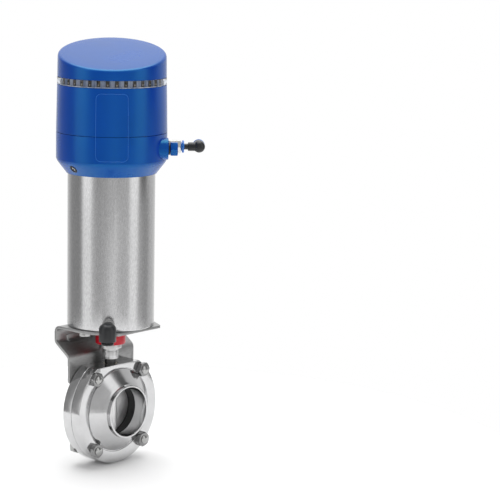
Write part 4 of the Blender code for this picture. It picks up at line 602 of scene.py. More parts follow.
BOLT_ACROSS = 32.2 * MM
BOLT_UP = 35.6 * MM
BOLT_RADIUS = 4.0 * MM
THREAD_ROOT = 3.4 * MM
BOLT_END = 18.4 * MM
BOLT_PITCH = 1.25 * MM
THREAD_LENGTH = 15 * MM
BOLT_HEX = 13.0 * MM
BOLT_HEAD = 5.3 * MM
NUT_HEIGHT = 4.8 * MM
BRACKET_SHEET = 2.5 * MM
UPPER_HEX_TURN = math.radians(18)
LOWER_HEX_TURN = math.radians(7)
RIGHT_TURN_SHARE = -1.6
BRACKET_SCREW_ACROSS = 35.5 * MM
BRACKET_SCREW_RADIUS = 3.0 * MM
BRACKET_SCREW_HEX = 10.0 * MM
BRACKET_SCREW_HEAD = (77.4 * MM, 81.6 * MM)
BRACKET_SCREW_SHANK = (80 * MM, 93.1 * MM)
BRACKET_SCREW_TURN = math.radians(11)


def thread_profile(bottom):
    """A body bolt's outline: a rounded end, then ridges one pitch apart, then a plain shank."""
    points = [
        (0, BOLT_END), (BOLT_RADIUS * 0.55, BOLT_END - 0.1 * MM), (BOLT_RADIUS * 0.8, BOLT_END - 0.5 * MM),
    ]
    z = BOLT_END - 0.9 * MM
    while z - BOLT_PITCH > BOLT_END - THREAD_LENGTH:
        points += [(BOLT_RADIUS, z), (THREAD_ROOT, z - BOLT_PITCH / 2)]
        z -= BOLT_PITCH
    return points + [(BOLT_RADIUS, z), (BOLT_RADIUS, bottom), (0, bottom)]


def build_body_bolt(looks, side, level):
    """One bolt through both halves. The upper bolts also hold the bracket's back leg."""
    where = ("upper" if level > 0 else "lower") + ("_left" if side < 0 else "_right")
    place = along((0, side * BOLT_ACROSS, level * BOLT_UP), (1, 0, 0), (0, 0, 1))
    turn = UPPER_HEX_TURN if level > 0 else LOWER_HEX_TURN
    turn = turn * (1 if side < 0 else RIGHT_TURN_SHARE) + HALF_HEX_STEP
    seat = FLANGE_FACE + GAP
    nut = hex_body("nut_hex_" + where, BOLT_HEX, seat, seat + NUT_HEIGHT, looks["nut"], place, turn, ["top"])
    settle(nut, "bolt_steel", "nut_" + where)
    under = -seat - (BRACKET_SHEET + GAP if level > 0 else 0)
    steel = looks["bolt"]
    head = hex_body("bolt_head_" + where, BOLT_HEX, under - BOLT_HEAD, under, steel, place, turn, ["foot"])
    profile = thread_profile(under - 2 * MM)
    shank = lathe("bolt_thread_" + where, profile, steel, place, SMALL, radius=0, sharp=60)
    settle(shank, "bolt_steel")
    settle(head, "bolt_steel", "bolt_" + where)


def build_bracket_screw(looks, side):
    where = "left" if side < 0 else "right"
    place = Matrix.Translation((0, side * BRACKET_SCREW_ACROSS, 0))
    steel = looks["bolt"]
    head = hex_body("bracket_screw_hex_" + where, BRACKET_SCREW_HEX, *BRACKET_SCREW_HEAD, steel, place,
                    BRACKET_SCREW_TURN * side, ["foot"])
    profile = rod(BRACKET_SCREW_RADIUS, *BRACKET_SCREW_SHANK)
    shank = lathe("bracket_screw_shank_" + where, profile, steel, place, SMALL)
    settle(shank, "bolt_steel")
    settle(head, "bolt_steel", "bracket_screw_" + where)


def build_fasteners(looks):
    for level in (1, -1):
        for side in (-1, 1):
            build_body_bolt(looks, side, level)
    for side in (-1, 1):
        build_bracket_screw(looks, side)


def build_bracket(looks):
    bracket = copy_of("mounting_bracket", "bracket_sheet", looks["sheet"])
    soften(bracket, 0.35 * MM, 38)
    settle(bracket, "sheet_steel", "mounting_bracket")


# Coupling

COUPLING_RADIUS = 7.85 * MM
COUPLING_FOOT = 50.1 * MM
COUPLING_TOP = 80.9 * MM
COUPLING_LINE = 58.5 * MM
COUPLING_LINE_RADIUS = 7.5 * MM
COLLAR_RADIUS = 11.0 * MM
COLLAR_FOOT = 60.7 * MM
COLLAR_TOP = 65.1 * MM
INDICATOR_RADIUS = 14.8 * MM
INDICATOR_TOP = 80.0 * MM


def build_coupling(looks):
    """The coupling with its turned line, the collar round it and the red ring on the collar."""
    profile = [
        (0, COUPLING_TOP), (COUPLING_RADIUS, COUPLING_TOP),
        (COUPLING_RADIUS, COUPLING_LINE + 0.5 * MM, 0.2),
        (COUPLING_LINE_RADIUS, COUPLING_LINE + 0.3 * MM, 0.1),
        (COUPLING_LINE_RADIUS, COUPLING_LINE - 0.3 * MM, 0.1),
        (COUPLING_RADIUS, COUPLING_LINE - 0.5 * MM, 0.2),
        (COUPLING_RADIUS, COUPLING_FOOT, 0.5), (0, COUPLING_FOOT),
    ]
    coupling = lathe("coupling_body", profile, looks["shaft"], steps=FINE)
    settle(coupling, "machined_steel", "stem_coupling", body="stem")
    bore = COUPLING_RADIUS + GAP
    profile = band(bore, COLLAR_RADIUS, COLLAR_FOOT, COLLAR_TOP, 0.5, 0.5)
    collar = lathe("collar_ring", profile, looks["shaft"], steps=FINE)
    settle(collar, "machined_steel", "coupling_collar", body="stem")
    profile = band(bore, INDICATOR_RADIUS, COLLAR_TOP + GAP, INDICATOR_TOP, 0.6, 1.0)
    indicator = lathe("indicator_band", profile, looks["red"], steps=FINE)
    settle(indicator, "indicator_red", "indicator_ring", body="stem")


# Actuator and push-in fittings: the stud's sizes run out from the tube's axis

TUBE_RADIUS = 42.5 * MM
TUBE_WALL = 2.0 * MM
TUBE_FOOT = 84.7 * MM
TUBE_TOP = 240.0 * MM
TUBE_PORT_Z = 91.0 * MM
TUBE_PORT_TURN = math.radians(-48)
STUD_SEAT = 42.8 * MM
STUD_SHOULDER = 49.3 * MM
STUD_TIP = 53.15 * MM
STUD_RADIUS = 4.0 * MM
STUD_COLLAR = 6.2 * MM
STUD_THREAD = 4.8 * MM
HOSE_BORE = 3.15 * MM
COLLET_BORE = 4.45 * MM
COLLET_DEPTH = 3.7 * MM
HOSE_STOP = 3.0 * MM
RELEASE_RADIUS = 6.0 * MM
RELEASE_SLEEVE = 4.15 * MM
RELEASE_STANDOFF = 1.3 * MM
DOME_STEPS = 12


def tube_port():
    """The frame of the actuator's air port: Z out of the tube, X down along the elbow's leg."""
    return along((0, 0, TUBE_PORT_Z), (*polar(1, TUBE_PORT_TURN), 0), (0, 0, -1))


def build_tube(looks):
    bore = TUBE_RADIUS - TUBE_WALL
    profile = [
        (TUBE_RADIUS, TUBE_TOP, 0.3), (TUBE_RADIUS, TUBE_FOOT, 1.0),
        (bore, TUBE_FOOT, 0.3), (bore, TUBE_TOP, 0.3),
    ]
    tube = lathe("tube_shell", profile, looks["tube"], steps=FINEST)
    carve(tube, plug(looks["tube"], tube_port(), (STUD_THREAD + GAP, 36 * MM, 60 * MM)))
    settle(tube, "tube_steel", "actuator_tube")


def elbow_leg(place, reach):
    """The frame of an elbow's hose leg: Z along the leg, from the barrel's axis."""
    return place @ Matrix.Translation((0, 0, reach)) @ Matrix.Rotation(math.radians(90), 4, "Y")


def elbow_piece(name, material, place, radius, leg, dome, reach, barrel_start, barrel_radius, socket=None):
    """Push-in elbow: a domed hose leg across the end of a barrel along Z, bored for the hose."""
    leg_axis = elbow_leg(place, reach)
    outline = [
        (0, leg), (radius - 0.6 * MM, leg), (radius - 0.15 * MM, leg - 0.2 * MM), (radius, leg - 0.7 * MM),
    ]
    for i in range(DOME_STEPS):
        across, down = polar(1, math.pi / 2 * i / DOME_STEPS)
        outline.append((radius * across, -dome * down))
    outline.append((0, -dome))
    elbow = new_piece(name, lathe_shape(outline, MEDIUM), leg_axis, material)
    barrel = lathe(name + "_barrel", rod(barrel_radius, barrel_start, reach, 0, 0.6), material, place)
    carve(elbow, barrel, operation="UNION")
    soften(elbow, 0.3 * MM, 32, segments=3)
    step = leg - COLLET_DEPTH
    cutters = [plug(material, leg_axis, (COLLET_BORE, step, leg + 2 * MM), (HOSE_BORE, -HOSE_STOP, step))]
    if socket:
        socket_radius, socket_end = socket
        cutters.append(plug(material, place, (socket_radius, barrel_start - 2 * MM, socket_end)))
    carve(elbow, *cutters)
    return elbow


def release_piece(name, face, place, material):
    """A hose release ring: a flat collar that stands off the fitting's face, on a thin sleeve."""
    foot = face + RELEASE_STANDOFF
    top = foot + 1.9 * MM
    tail = foot - 3.4 * MM
    profile = [
        (HOSE_BORE, top, 0.5), (RELEASE_RADIUS, top, 0.5), (RELEASE_RADIUS, foot, 0.3),
        (RELEASE_SLEEVE, foot, 0.1), (RELEASE_SLEEVE, tail), (HOSE_BORE, tail),
    ]
    return lathe(name, profile, material, place)


def build_actuator_elbow(looks):
    place = tube_port()
    reach = 57.6 * MM
    leg = 12.2 * MM
    elbow = elbow_piece("actuator_elbow", looks["black"], place, radius=8.3 * MM, leg=leg, dome=6.2 * MM,
                        reach=reach, barrel_start=STUD_SHOULDER + GAP, barrel_radius=5.4 * MM,
                        socket=(STUD_RADIUS + GAP, STUD_TIP + GAP))
    settle(elbow, "black_plastic", "air_elbow", body="air_elbow")
    release = release_piece("actuator_release", leg, elbow_leg(place, reach), looks["black"])
    settle(release, "black_plastic", "air_elbow_release_ring", body="air_elbow_release")
    bore = 1.8 * MM
    tail = 31.0 * MM
    profile = [
        (STUD_RADIUS, STUD_TIP), (STUD_RADIUS, STUD_SHOULDER), (STUD_COLLAR, STUD_SHOULDER, 0.4),
        (STUD_COLLAR, STUD_SEAT, 0.4), (STUD_THREAD, STUD_SEAT), (STUD_THREAD, tail), (bore, tail),
        (bore, STUD_TIP),
    ]
    settle(lathe("actuator_stud", profile, looks["bolt"], place), "nickel", "air_elbow_stud")


# Control head

HEAD_RADIUS = 53.7 * MM
HEAD_WALL = 3.0 * MM
HOUSING_FOOT = 248.9 * MM
SEAM_Z = 274.3 * MM
SEAM_HALF = 0.2 * MM
SHOULDER_RADIUS = 52.8 * MM
SHOULDER_Z = 320.1 * MM
SHOULDER_HOLE = 44.0 * MM
SHAFT_HOLE = 12.0 * MM
PANEL_LOW = 251.2 * MM
PANEL_HIGH = 315.1 * MM
PANEL_HALF = 15.5 * MM
PANEL_CORNER = 5.0 * MM
PANEL_CORNER_STEPS = 8
PANEL_PROUD = 0.35 * MM
PANEL_COLUMNS = 24
BEAD_RADIUS = 0.28 * MM
ADAPTER_FOOT = 234.6 * MM
ADAPTER_LIP = (52.8 * MM, 246.4 * MM)
ADAPTER_CUFF = (44.3 * MM, 235.3 * MM)
TAPER_TOP = (51.0 * MM, 243.8 * MM)
TAPER_FOOT = (46.7 * MM, 238.4 * MM)
SCREW_TURN = math.radians(-93)
SCREW_SEAT = -0.9 * MM
SCREW_RING = 4.2 * MM


def head_radius_at(z):
    share = max(0.0, (z - SEAM_Z) / (SHOULDER_Z - SEAM_Z))
    return HEAD_RADIUS + (SHOULDER_RADIUS - HEAD_RADIUS) * share


def panel_outline(low, high, low_corner, high_corner, step=0.8 * MM):
    """Points round the panel, as distance along the housing's side and height."""
    bends = []
    for x, z, size, toward, start in (
        (-PANEL_HALF, low, low_corner, 1, 180), (PANEL_HALF, low, low_corner, 1, 270),
        (PANEL_HALF, high, high_corner, -1, 0), (-PANEL_HALF, high, high_corner, -1, 90),
    ):
        if size == 0:
            bends.append((x, z))
            continue
        centre = Vector((x - math.copysign(size, x), z + size * toward))
        for k in range(PANEL_CORNER_STEPS + 1):
            across, up = polar(size, math.radians(start + 90 * k / PANEL_CORNER_STEPS))
            bends.append((centre.x + across, centre.y + up))
    points = []
    for (x0, z0), (x1, z1) in zip(bends, bends[1:] + bends[:1]):
        count = max(1, round(math.hypot(x1 - x0, z1 - z0) / step))
        points += [(x0 + (x1 - x0) * k / count, z0 + (z1 - z0) * k / count) for k in range(count)]
    return points


def on_side(across, z, proud):
    """A point on the housing's front at a distance along its side."""
    x, y = polar(head_radius_at(z) + proud, -math.pi / 2 + across / HEAD_RADIUS)
    return HEAD @ Vector((x, y, z))


def panel_piece(name, low, high, low_corner, high_corner, material):
    """A thin raised pad bent round the housing."""
    outline = panel_outline(low, high, low_corner, high_corner)
    shape = bmesh.new()
    face = shape.faces.new([shape.verts.new((x, 0, z)) for x, z in outline])
    raised = bmesh.ops.extrude_face_region(shape, geom=[face])
    top = [item for item in raised["geom"] if isinstance(item, bmesh.types.BMVert)]
    bmesh.ops.translate(shape, verts=top, vec=(0, 1, 0))
    for i in range(1, PANEL_COLUMNS):
        x = -PANEL_HALF + 2 * PANEL_HALF * i / PANEL_COLUMNS
        bmesh.ops.bisect_plane(shape, geom=everything_in(shape), plane_co=(x, 0, 0), plane_no=(1, 0, 0))
    for vert in shape.verts:
        x, raised_up, z = vert.co
        inset = 0.25 * MM if raised_up > 0.5 else 0.0
        proud = PANEL_PROUD if raised_up > 0.5 else -1.0 * MM
        x -= math.copysign(inset, x) if abs(abs(x) - PANEL_HALF) < PANEL_CORNER else 0
        vert.co = on_side(x, z, proud)
    return new_piece(name, shape, WORLD, material, 30)


def panel_bead(name, material):
    """The thin edge round the panel, painted a lighter blue as a painted highlight."""
    curve = bpy.data.curves.new(name, "CURVE")
    curve.dimensions = "3D"
    curve.bevel_depth = BEAD_RADIUS
    curve.bevel_resolution = 2
    outline = panel_outline(PANEL_LOW, PANEL_HIGH, PANEL_CORNER, PANEL_CORNER, 1.2 * MM)
    line = curve.splines.new("POLY")
    line.points.add(len(outline) - 1)
    for point, (x, z) in zip(line.points, outline):
        point.co = (*on_side(x, z, PANEL_PROUD - 0.1 * MM), 1)
    line.use_cyclic_u = True
    drawn = linked(name + "_line", curve)
    mesh = evaluated_mesh(drawn)
    bpy.data.objects.remove(drawn)
    paint(mesh, material)
    mesh.shade_smooth()
    return linked(name, mesh)


def build_housings(looks):
    blue = looks["blue"]
    low_seam = SEAM_Z - SEAM_HALF
    high_seam = SEAM_Z + SEAM_HALF
    inner = HEAD_RADIUS - HEAD_WALL
    floor = HOUSING_FOOT + HEAD_WALL
    profile = [
        (HEAD_RADIUS, low_seam, 0.4), (HEAD_RADIUS, HOUSING_FOOT, 0.05), (SHAFT_HOLE, HOUSING_FOOT),
        (SHAFT_HOLE, floor), (inner, floor), (inner, low_seam),
    ]
    lower = lathe("housing_lower", profile, blue, HEAD, FINEST)
    gland_boss = rod(10.5 * MM, 42.0 * MM, BOSS_FACE, 0.6)
    supply_boss = rod(8.0 * MM, 47.7 * MM, BOSS_FACE, 0.5)
    carve(lower, lathe("gland_boss", gland_boss, blue, port_frame(GLAND_BACK)),
          lathe("supply_boss", supply_boss, blue, port_frame(SUPPLY_BACK)), operation="UNION")
    settle(lower, "head_blue", "lower_housing")

    ceiling = SHOULDER_Z - HEAD_WALL
    profile = [
        (SHOULDER_RADIUS, SHOULDER_Z, 0.3), (HEAD_RADIUS, high_seam, 0.4), (inner, high_seam),
        (SHOULDER_RADIUS - HEAD_WALL, ceiling), (SHOULDER_HOLE, ceiling), (SHOULDER_HOLE, SHOULDER_Z),
    ]
    settle(lathe("housing_upper", profile, blue, HEAD, FINEST), "head_blue", "upper_housing")
    settle(panel_piece("panel_lower", PANEL_LOW, low_seam, PANEL_CORNER, 0, blue), "head_blue")
    settle(panel_piece("panel_upper", high_seam, PANEL_HIGH, 0, PANEL_CORNER, blue), "head_blue")
    # The edge bead carries the painted highlight round the panel
    settle(panel_bead("panel_edge", looks["rim"]), "head_blue")


def screw_frame():
    """The frame of the clamp screw: Z straight out of the middle of the adapter's taper."""
    rise = TAPER_TOP[1] - TAPER_FOOT[1]
    run = TAPER_TOP[0] - TAPER_FOOT[0]
    radial = Vector((*polar(1, SCREW_TURN), 0))
    across = Vector((-radial.y, radial.x, 0))
    middle_z = (TAPER_TOP[1] + TAPER_FOOT[1]) / 2
    middle = radial * (TAPER_TOP[0] + TAPER_FOOT[0]) / 2 + Vector((0, 0, middle_z))
    return along(middle, radial * rise - Vector((0, 0, run)), across)


def build_adapter(looks):
    rim = HOUSING_FOOT - 0.05 * MM
    rim_radius = 52.5 * MM
    tube_hole = TUBE_RADIUS + GAP
    ceiling = TUBE_TOP + GAP
    top = HOUSING_FOOT - GAP
    profile = [
        (HEAD_RADIUS, rim, 0.05), (*ADAPTER_LIP, 1.6), (*TAPER_TOP, 1.2), (*TAPER_FOOT, 1.0),
        (*ADAPTER_CUFF, 0.8), (44.0 * MM, ADAPTER_FOOT, 0.3), (tube_hole, ADAPTER_FOOT, 0.3),
        (tube_hole, ceiling), (SHAFT_HOLE, ceiling), (SHAFT_HOLE, top, 0.1), (rim_radius, top, 0.1),
        (rim_radius, rim, 0.05),
    ]
    adapter = lathe("adapter_ring", profile, looks["blue"], HEAD, FINEST)
    place = screw_frame()
    carve(adapter, plug(looks["blue"], place, (SCREW_RING + 0.1 * MM, SCREW_SEAT - GAP, 2 * MM)))
    settle(adapter, "head_blue", "head_adapter")
    build_clamp_screw(looks, place)


def build_clamp_screw(looks, place):
    """The adapter's small socket screw and the black ring round its head."""
    hole = 2.25 * MM
    raised = 0.4 * MM
    profile = [(hole, raised, 0.4), (SCREW_RING, raised, 0.5), (SCREW_RING, SCREW_SEAT), (hole, SCREW_SEAT)]
    ring = lathe("screw_washer", profile, looks["rubber"], place, SMALL)
    settle(ring, "black_plastic", "adapter_screw_ring")
    face = -0.1 * MM
    head = 2.1 * MM
    shank = 1.4 * MM
    end = -3.7 * MM
    profile = [
        (0, face), (head, face, 0.35), (head, SCREW_SEAT), (shank, SCREW_SEAT), (shank, end), (0, end),
    ]
    screw = lathe("clamp_screw", profile, looks["bolt"], place, SMALL)
    across_flats = 2.0 * MM
    floor = -0.6 * MM
    carve(screw, hexagon("socket", across_flats, floor, 2 * MM, looks["bolt"], place))
    settle(screw, "bolt_steel", "adapter_screw")


# Light ring and cover: the cover's skirt widens by COVER_TAPER for each unit of height below its peak

WINDOW_COUNT = 36
WINDOW_HALF = 1.85 * MM
CHIP_HALF = 0.75 * MM
LENS_LOW = 321.1 * MM
LENS_TOP = 327.1 * MM
LENS_BORE = 50.0 * MM
GUIDE_BORE = 47.8 * MM
GUIDE_RADIUS = 49.3 * MM
COVER_TILT = math.radians(13.3)
COVER_CENTRE = 349.6 * MM
COVER_PEAK = 375 * MM
COVER_PEAK_RADIUS = 52.0 * MM
COVER_TAPER = 0.8 / 62.6
COVER_RIM = 3.4 * MM
COVER_CROWN = 0.6 * MM


def add_block(shape, turn, inner, outer, half_width, low, high):
    """A small block on a ring, with its outer edges drawn in."""
    corners = []
    for x, margin in ((inner, 0), (outer, 0.15 * MM)):
        for y, z in ((-1, low + margin), (1, low + margin), (1, high - margin), (-1, high - margin)):
            corners.append(shape.verts.new(turn @ Vector((x, y * (half_width - margin), z))))
    for ring in ((0, 3, 2, 1), (4, 5, 6, 7), (0, 1, 5, 4), (1, 2, 6, 5), (2, 3, 7, 6), (3, 0, 4, 7)):
        shape.faces.new([corners[k] for k in ring])


def build_light_ring(looks):
    """A clear band over a pale guide ring, whose dark windows each show a chip."""
    foot = SHOULDER_Z + GAP
    profile = band(LENS_BORE, SHOULDER_RADIUS, LENS_LOW, LENS_TOP, 0.3, 0.1, 0.1)
    settle(lathe("lens_ring", profile, looks["lens"], HEAD, FINEST), "clear_lens", "light_ring")
    profile = band(LENS_BORE, SHOULDER_RADIUS, foot, LENS_LOW, 0.1, 0.25, 0.1)
    settle(lathe("lens_foot", profile, looks["guide"], HEAD, FINEST), "clear_lens")
    profile = band(GUIDE_BORE, GUIDE_RADIUS, foot, LENS_TOP)
    settle(lathe("window_guide", profile, looks["guide"], HEAD, FINEST), "led_dark", "led_ring")
    windows = bmesh.new()
    chips = bmesh.new()
    window_face = GUIDE_RADIUS + 0.3 * MM
    for i in range(WINDOW_COUNT):
        turn = Matrix.Rotation(math.radians((i + 0.5) * 360 / WINDOW_COUNT), 4, "Z")
        add_block(windows, turn, GUIDE_RADIUS - 0.1 * MM, window_face, WINDOW_HALF, LENS_LOW + 0.1 * MM,
                  LENS_TOP - 0.5 * MM)
        add_block(chips, turn, window_face - 0.1 * MM, window_face + 0.2 * MM, CHIP_HALF,
                  LENS_LOW + 0.9 * MM, LENS_LOW + 2.6 * MM)
    for name, shape, look in (("led_windows", windows, "window"), ("led_chips", chips, "chip")):
        settle(new_piece(name, shape, HEAD, looks[look]), "led_dark")


def cover_column(angle, foot):
    """The cover's outline at one place round it, as radius and height from the foot up to near the middle."""
    low = LENS_TOP + GAP
    lift = math.tan(COVER_TILT) * math.sin(angle)
    corner_drop = COVER_PEAK - COVER_CENTRE - COVER_PEAK_RADIUS * lift
    corner_radius = COVER_PEAK_RADIUS + COVER_TAPER * corner_drop
    corner_z = COVER_CENTRE + corner_radius * lift
    start = Vector((corner_radius + 0.02 * MM, corner_z - COVER_RIM))
    corner = Vector((corner_radius, corner_z))
    end = Vector((corner_radius - COVER_RIM, corner_z - COVER_RIM * lift))
    points = [(foot - 2.8 * MM, low), (foot - 0.1 * MM, low), (foot, low + 0.1 * MM), (foot, low + 0.4 * MM)]
    points += bend(start, corner, end, 6)
    for share in (0.8, 0.6, 0.4, 0.2):
        radius = end.x * share
        points.append((radius, COVER_CENTRE + radius * lift + COVER_CROWN * (1 - share ** 2)))
    return points


def build_cover(looks):
    """Slanted cap: a tapering skirt, a rounded rim and a faintly crowned top."""
    shape = bmesh.new()
    columns = []
    for i in range(FINEST):
        angle = 2 * math.pi * i / FINEST
        outline = cover_column(angle, SHOULDER_RADIUS - 0.2 * MM)
        columns.append([shape.verts.new((*polar(radius, angle), z)) for radius, z in outline])
    top = shape.verts.new((0, 0, COVER_CENTRE + COVER_CROWN))
    bottom = shape.verts.new((0, 0, LENS_TOP + GAP))
    for column, beside in zip(columns, columns[1:] + columns[:1]):
        for k in range(len(column) - 1):
            shape.faces.new((column[k], column[k + 1], beside[k + 1], beside[k]))
        shape.faces.new((column[-1], beside[-1], top))
        shape.faces.new((beside[0], column[0], bottom))
    settle(new_piece("cover_cap", shape, HEAD, looks["blue"]), "head_blue", "top_cover")


# Ports on the head's side: their sizes run out from the head's middle

PORT_Z = 260.0 * MM
GLAND_BACK = -19.0 * MM
SUPPLY_BACK = 0.0
BOSS_FACE = 54.2 * MM
PORT_THREAD_END = 45.5 * MM
CABLE_BORE = 3.2 * MM
GLAND_BODY_RADIUS = 4.8 * MM
GLAND_COLLAR = 6.0 * MM
GLAND_COLLAR_TOP = 55.9 * MM
GLAND_BODY_TOP = 59.0 * MM
GLAND_NUT_TOP = 63.3 * MM
GLAND_HEX = 12.6 * MM
SUPPLY_HEX = 12.0 * MM
SUPPLY_THREAD = 4.6 * MM
SUPPLY_FACE = 66.7 * MM
HEAD_ELBOW_REACH = 84.6 * MM
HEAD_ELBOW_LEG = 8.5 * MM


def port_frame(back):
    return along(HEAD_BACK * back + Vector((0, 0, PORT_Z)), HEAD_RIGHT, HEAD_BACK)


def build_gland(looks):
    place = port_frame(GLAND_BACK)
    seat = BOSS_FACE + GAP
    profile = [
        (GLAND_BODY_RADIUS, GLAND_BODY_TOP), (GLAND_BODY_RADIUS, GLAND_COLLAR_TOP),
        (GLAND_COLLAR, GLAND_COLLAR_TOP, 0.3), (GLAND_COLLAR, seat, 0.3), (GLAND_BODY_RADIUS, seat),
        (GLAND_BODY_RADIUS, PORT_THREAD_END), (CABLE_BORE, PORT_THREAD_END), (CABLE_BORE, GLAND_BODY_TOP),
    ]
    settle(lathe("gland_collar", profile, looks["black"], place), "black_plastic", "cable_gland")
    nut = hex_body("gland_cap", GLAND_HEX, GLAND_COLLAR_TOP + GAP, GLAND_NUT_TOP, looks["blue"], place,
                   HALF_HEX_STEP, ["foot", "top"])
    step = GLAND_BODY_TOP + GAP
    wide = GLAND_BODY_RADIUS + GAP
    # The bore cut carries the near-black painted shade for the inside of the cable hole
    carve(nut, plug(looks["dark"], place, (CABLE_BORE, step, 70 * MM), (wide, 50 * MM, step)))
    settle(nut, "head_blue", "gland_nut")


def build_supply(looks):
    place = port_frame(SUPPLY_BACK)
    nickel = looks["nickel"]
    body = hex_body("supply_hex", SUPPLY_HEX, BOSS_FACE + GAP, SUPPLY_FACE, nickel, place, HALF_HEX_STEP,
                    ["foot", "top"])
    thread = lathe("supply_thread", rod(SUPPLY_THREAD, PORT_THREAD_END, 55 * MM), nickel, place, SMALL)
    step = SUPPLY_FACE - COLLET_DEPTH
    mouth = plug(nickel, place, (COLLET_BORE, step, 80 * MM), (HOSE_BORE, 40 * MM, step))
    carve(body, thread, operation="UNION")
    carve(body, mouth)
    settle(body, "nickel", "supply_fitting")
    collet = release_piece("supply_release_collar", SUPPLY_FACE, place, looks["release"])
    settle(collet, "release_blue", "supply_release_ring", body="supply_release")


def build_head_elbow(looks):
    place = port_frame(SUPPLY_BACK)
    elbow = elbow_piece("head_elbow", looks["black"], place, radius=5.8 * MM, leg=HEAD_ELBOW_LEG,
                        dome=5.2 * MM, reach=HEAD_ELBOW_REACH, barrel_start=73.8 * MM,
                        barrel_radius=4.2 * MM)
    settle(elbow, "black_plastic", "plug_elbow", body="plug_elbow")
    stem = lathe("head_elbow_stem", rod(2.85 * MM, 58 * MM, 75 * MM), looks["black"], place, SMALL)
    settle(stem, "black_plastic", body="plug_elbow")
    leg_axis = elbow_leg(place, HEAD_ELBOW_REACH)
    collar = release_piece("head_elbow_release", HEAD_ELBOW_LEG, leg_axis, looks["release"])
    settle(collar, "release_blue", "plug_elbow_release_ring", body="plug_elbow_release")


def dress_inner_nodes(looks):
    """CAD nodes that stay get the material of their kind."""
    kinds = {
        "rubber": ("stem_o_ring", "bottom_cap_o_ring", "shaft_seal", "piston_seal", "piston_bore_seal"),
        "bush": ("upper_stem_bush", "lower_stem_bush", "shaft_bush", "thrust_washer", "cam_bush"),
        "aluminium": ("bottom_cap", "top_cap", "piston", "position_target"),
        "hidden": ("guide_tube", "cam_shaft", "cross_pin"),
        "spring": ("main_spring",),
        "board": ("control_board",),
        "black": ("solenoid_valve",),
    }
    for look, nodes in kinds.items():
        for node in nodes:
            paint(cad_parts[node].data, looks[look])


# Studio

def picture_to_frame(point):
    """From the photograph's own axes (X right, Y away, Z up) to the frame's."""
    x, y, z = point
    sine, cosine = math.sin(PICTURE_TURN), math.cos(PICTURE_TURN)
    return Vector((x * sine - y * cosine, x * cosine + y * sine, z))


def make_camera():
    ahead = Vector((math.sin(CAMERA_YAW), math.cos(CAMERA_YAW), 0))
    forward = ahead * math.cos(CAMERA_PITCH) - Vector((0, 0, math.sin(CAMERA_PITCH)))
    level = Vector((math.cos(CAMERA_YAW), -math.sin(CAMERA_YAW), 0))
    upright = level.cross(forward)
    right = level * math.cos(CAMERA_ROLL) + upright * math.sin(CAMERA_ROLL)
    up = upright * math.cos(CAMERA_ROLL) - level * math.sin(CAMERA_ROLL)
    axes = [picture_to_frame(axis) for axis in (right, up, -forward)]
    data = bpy.data.cameras.new("camera")
    data.sensor_width = SENSOR
    data.lens = FOCAL_PIXELS * SENSOR / FRAME_PIXELS
    data.clip_start = 0.05
    data.clip_end = 50
    camera = linked("camera", data)
    place = Matrix(axes).transposed().to_4x4()
    camera.matrix_world = Matrix.Translation(picture_to_frame((0, -CAMERA_DISTANCE, CAMERA_HEIGHT))) @ place
    bpy.context.scene.camera = camera


def panel_light(tree, vector, surroundings):
    """Light by the direction round the object."""
    around = new_node(tree, "TexGradient")
    around.gradient_type = "RADIAL"
    panels = new_node(tree, "ValToRGB")
    stops = panels.color_ramp.elements
    while len(stops) < len(surroundings):
        stops.new(1.0)
    for stop, (degrees, light) in zip(stops, surroundings):
        stop.position = 0.5 + degrees / 360
        stop.color = (light, light, light, 1.0)
    tree.links.new(vector, around.inputs["Vector"])
    tree.links.new(around.outputs["Fac"], panels.inputs["Fac"])
    return panels.outputs["Color"]


def blend_light(tree, share, light, other):
    """Blend from one light to another, which may be a plain level."""
    mix = new_node(tree, "Mix")
    mix.data_type = "RGBA"
    tree.links.new(share, mix.inputs["Factor"])
    tree.links.new(light, mix.inputs["A"])
    if isinstance(other, float):
        mix.inputs["B"].default_value = (other, other, other, 1.0)
    else:
        tree.links.new(other, mix.inputs["B"])
    return mix.outputs["Result"]


def share_along(tree, vector, axis, start, full):
    """How far a direction leans along an axis, from 0 at `start` to 1 at `full`."""
    dot = new_node(tree, "VectorMath")
    dot.operation = "DOT_PRODUCT"
    dot.inputs[1].default_value = axis
    height = new_node(tree, "MapRange", From_Min=start, From_Max=full)
    height.interpolation_type = "SMOOTHSTEP"
    tree.links.new(vector, dot.inputs[0])
    tree.links.new(dot.outputs["Value"], height.inputs["Value"])
    return height.outputs["Result"]


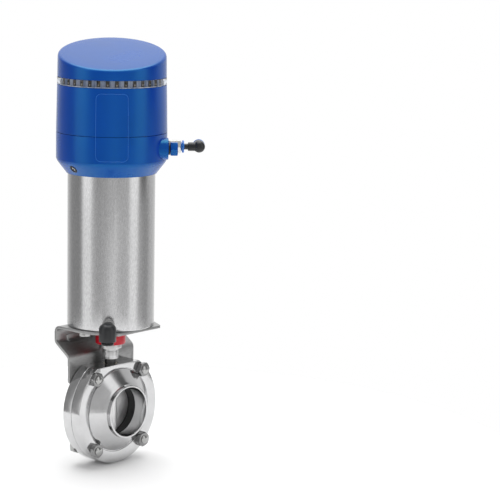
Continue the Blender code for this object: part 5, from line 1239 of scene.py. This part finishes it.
def make_world():
    """Tall bright panels at the camera's sides, darker gaps between them, and a ceiling that leans back."""
    world = bpy.data.worlds.new("studio")
    bpy.context.scene.world = world
    world.use_nodes = True
    tree = world.node_tree
    place = new_node(tree, "TexCoord").outputs["Generated"]
    turn = new_node(tree, "Mapping", Rotation=(0, 0, PICTURE_TURN))
    tree.links.new(place, turn.inputs["Vector"])
    low = panel_light(tree, turn.outputs["Vector"], LOW_SURROUNDINGS)
    high = panel_light(tree, turn.outputs["Vector"], HIGH_SURROUNDINGS)
    light = blend_light(tree, share_along(tree, place, (0, 0, 1), *HORIZON_BLEND), low, high)
    ceiling = picture_to_frame((0, math.sin(OVERHEAD_LEAN), math.cos(OVERHEAD_LEAN)))
    light = blend_light(tree, share_along(tree, place, ceiling, *CEILING_BLEND), light, OVERHEAD_LIGHT)
    light = blend_light(tree, share_along(tree, place, (0, 0, -1), *FLOOR_BLEND), light, FLOOR_GLOW)
    rays = new_node(tree, "LightPath")
    light = blend_light(tree, rays.outputs["Is Camera Ray"], light, BACKDROP)
    tree.links.new(light, tree.nodes["Background"].inputs["Color"])


def make_floor():
    """A pale disc just under the valve, which would otherwise stand on nothing."""
    look = Look("studio_floor", (0.93, 0.93, 0.93), 0.8)
    cloud = look.noise(3, 2.0)
    look.vary_roughness(cloud, 0.75, 0.85)
    bpy.ops.mesh.primitive_circle_add(vertices=FINEST, radius=FLOOR_RADIUS, fill_type="NGON",
                                      location=(0, 0, cad_low.z - GAP))
    floor = bpy.context.object
    floor.name = "studio_floor"
    floor.data.materials.append(look.material)


def make_studio():
    make_world()
    make_floor()
    bpy.context.scene.view_settings.view_transform = "Standard"


def build():
    looks = make_materials()
    make_camera()
    make_studio()
    build_body(looks)
    build_seal(looks)
    build_disc(looks)
    build_fasteners(looks)
    build_bracket(looks)
    build_coupling(looks)
    build_tube(looks)
    build_actuator_elbow(looks)
    build_adapter(looks)
    build_housings(looks)
    build_light_ring(looks)
    build_cover(looks)
    build_gland(looks)
    build_supply(looks)
    build_head_elbow(looks)
    dress_inner_nodes(looks)


build()
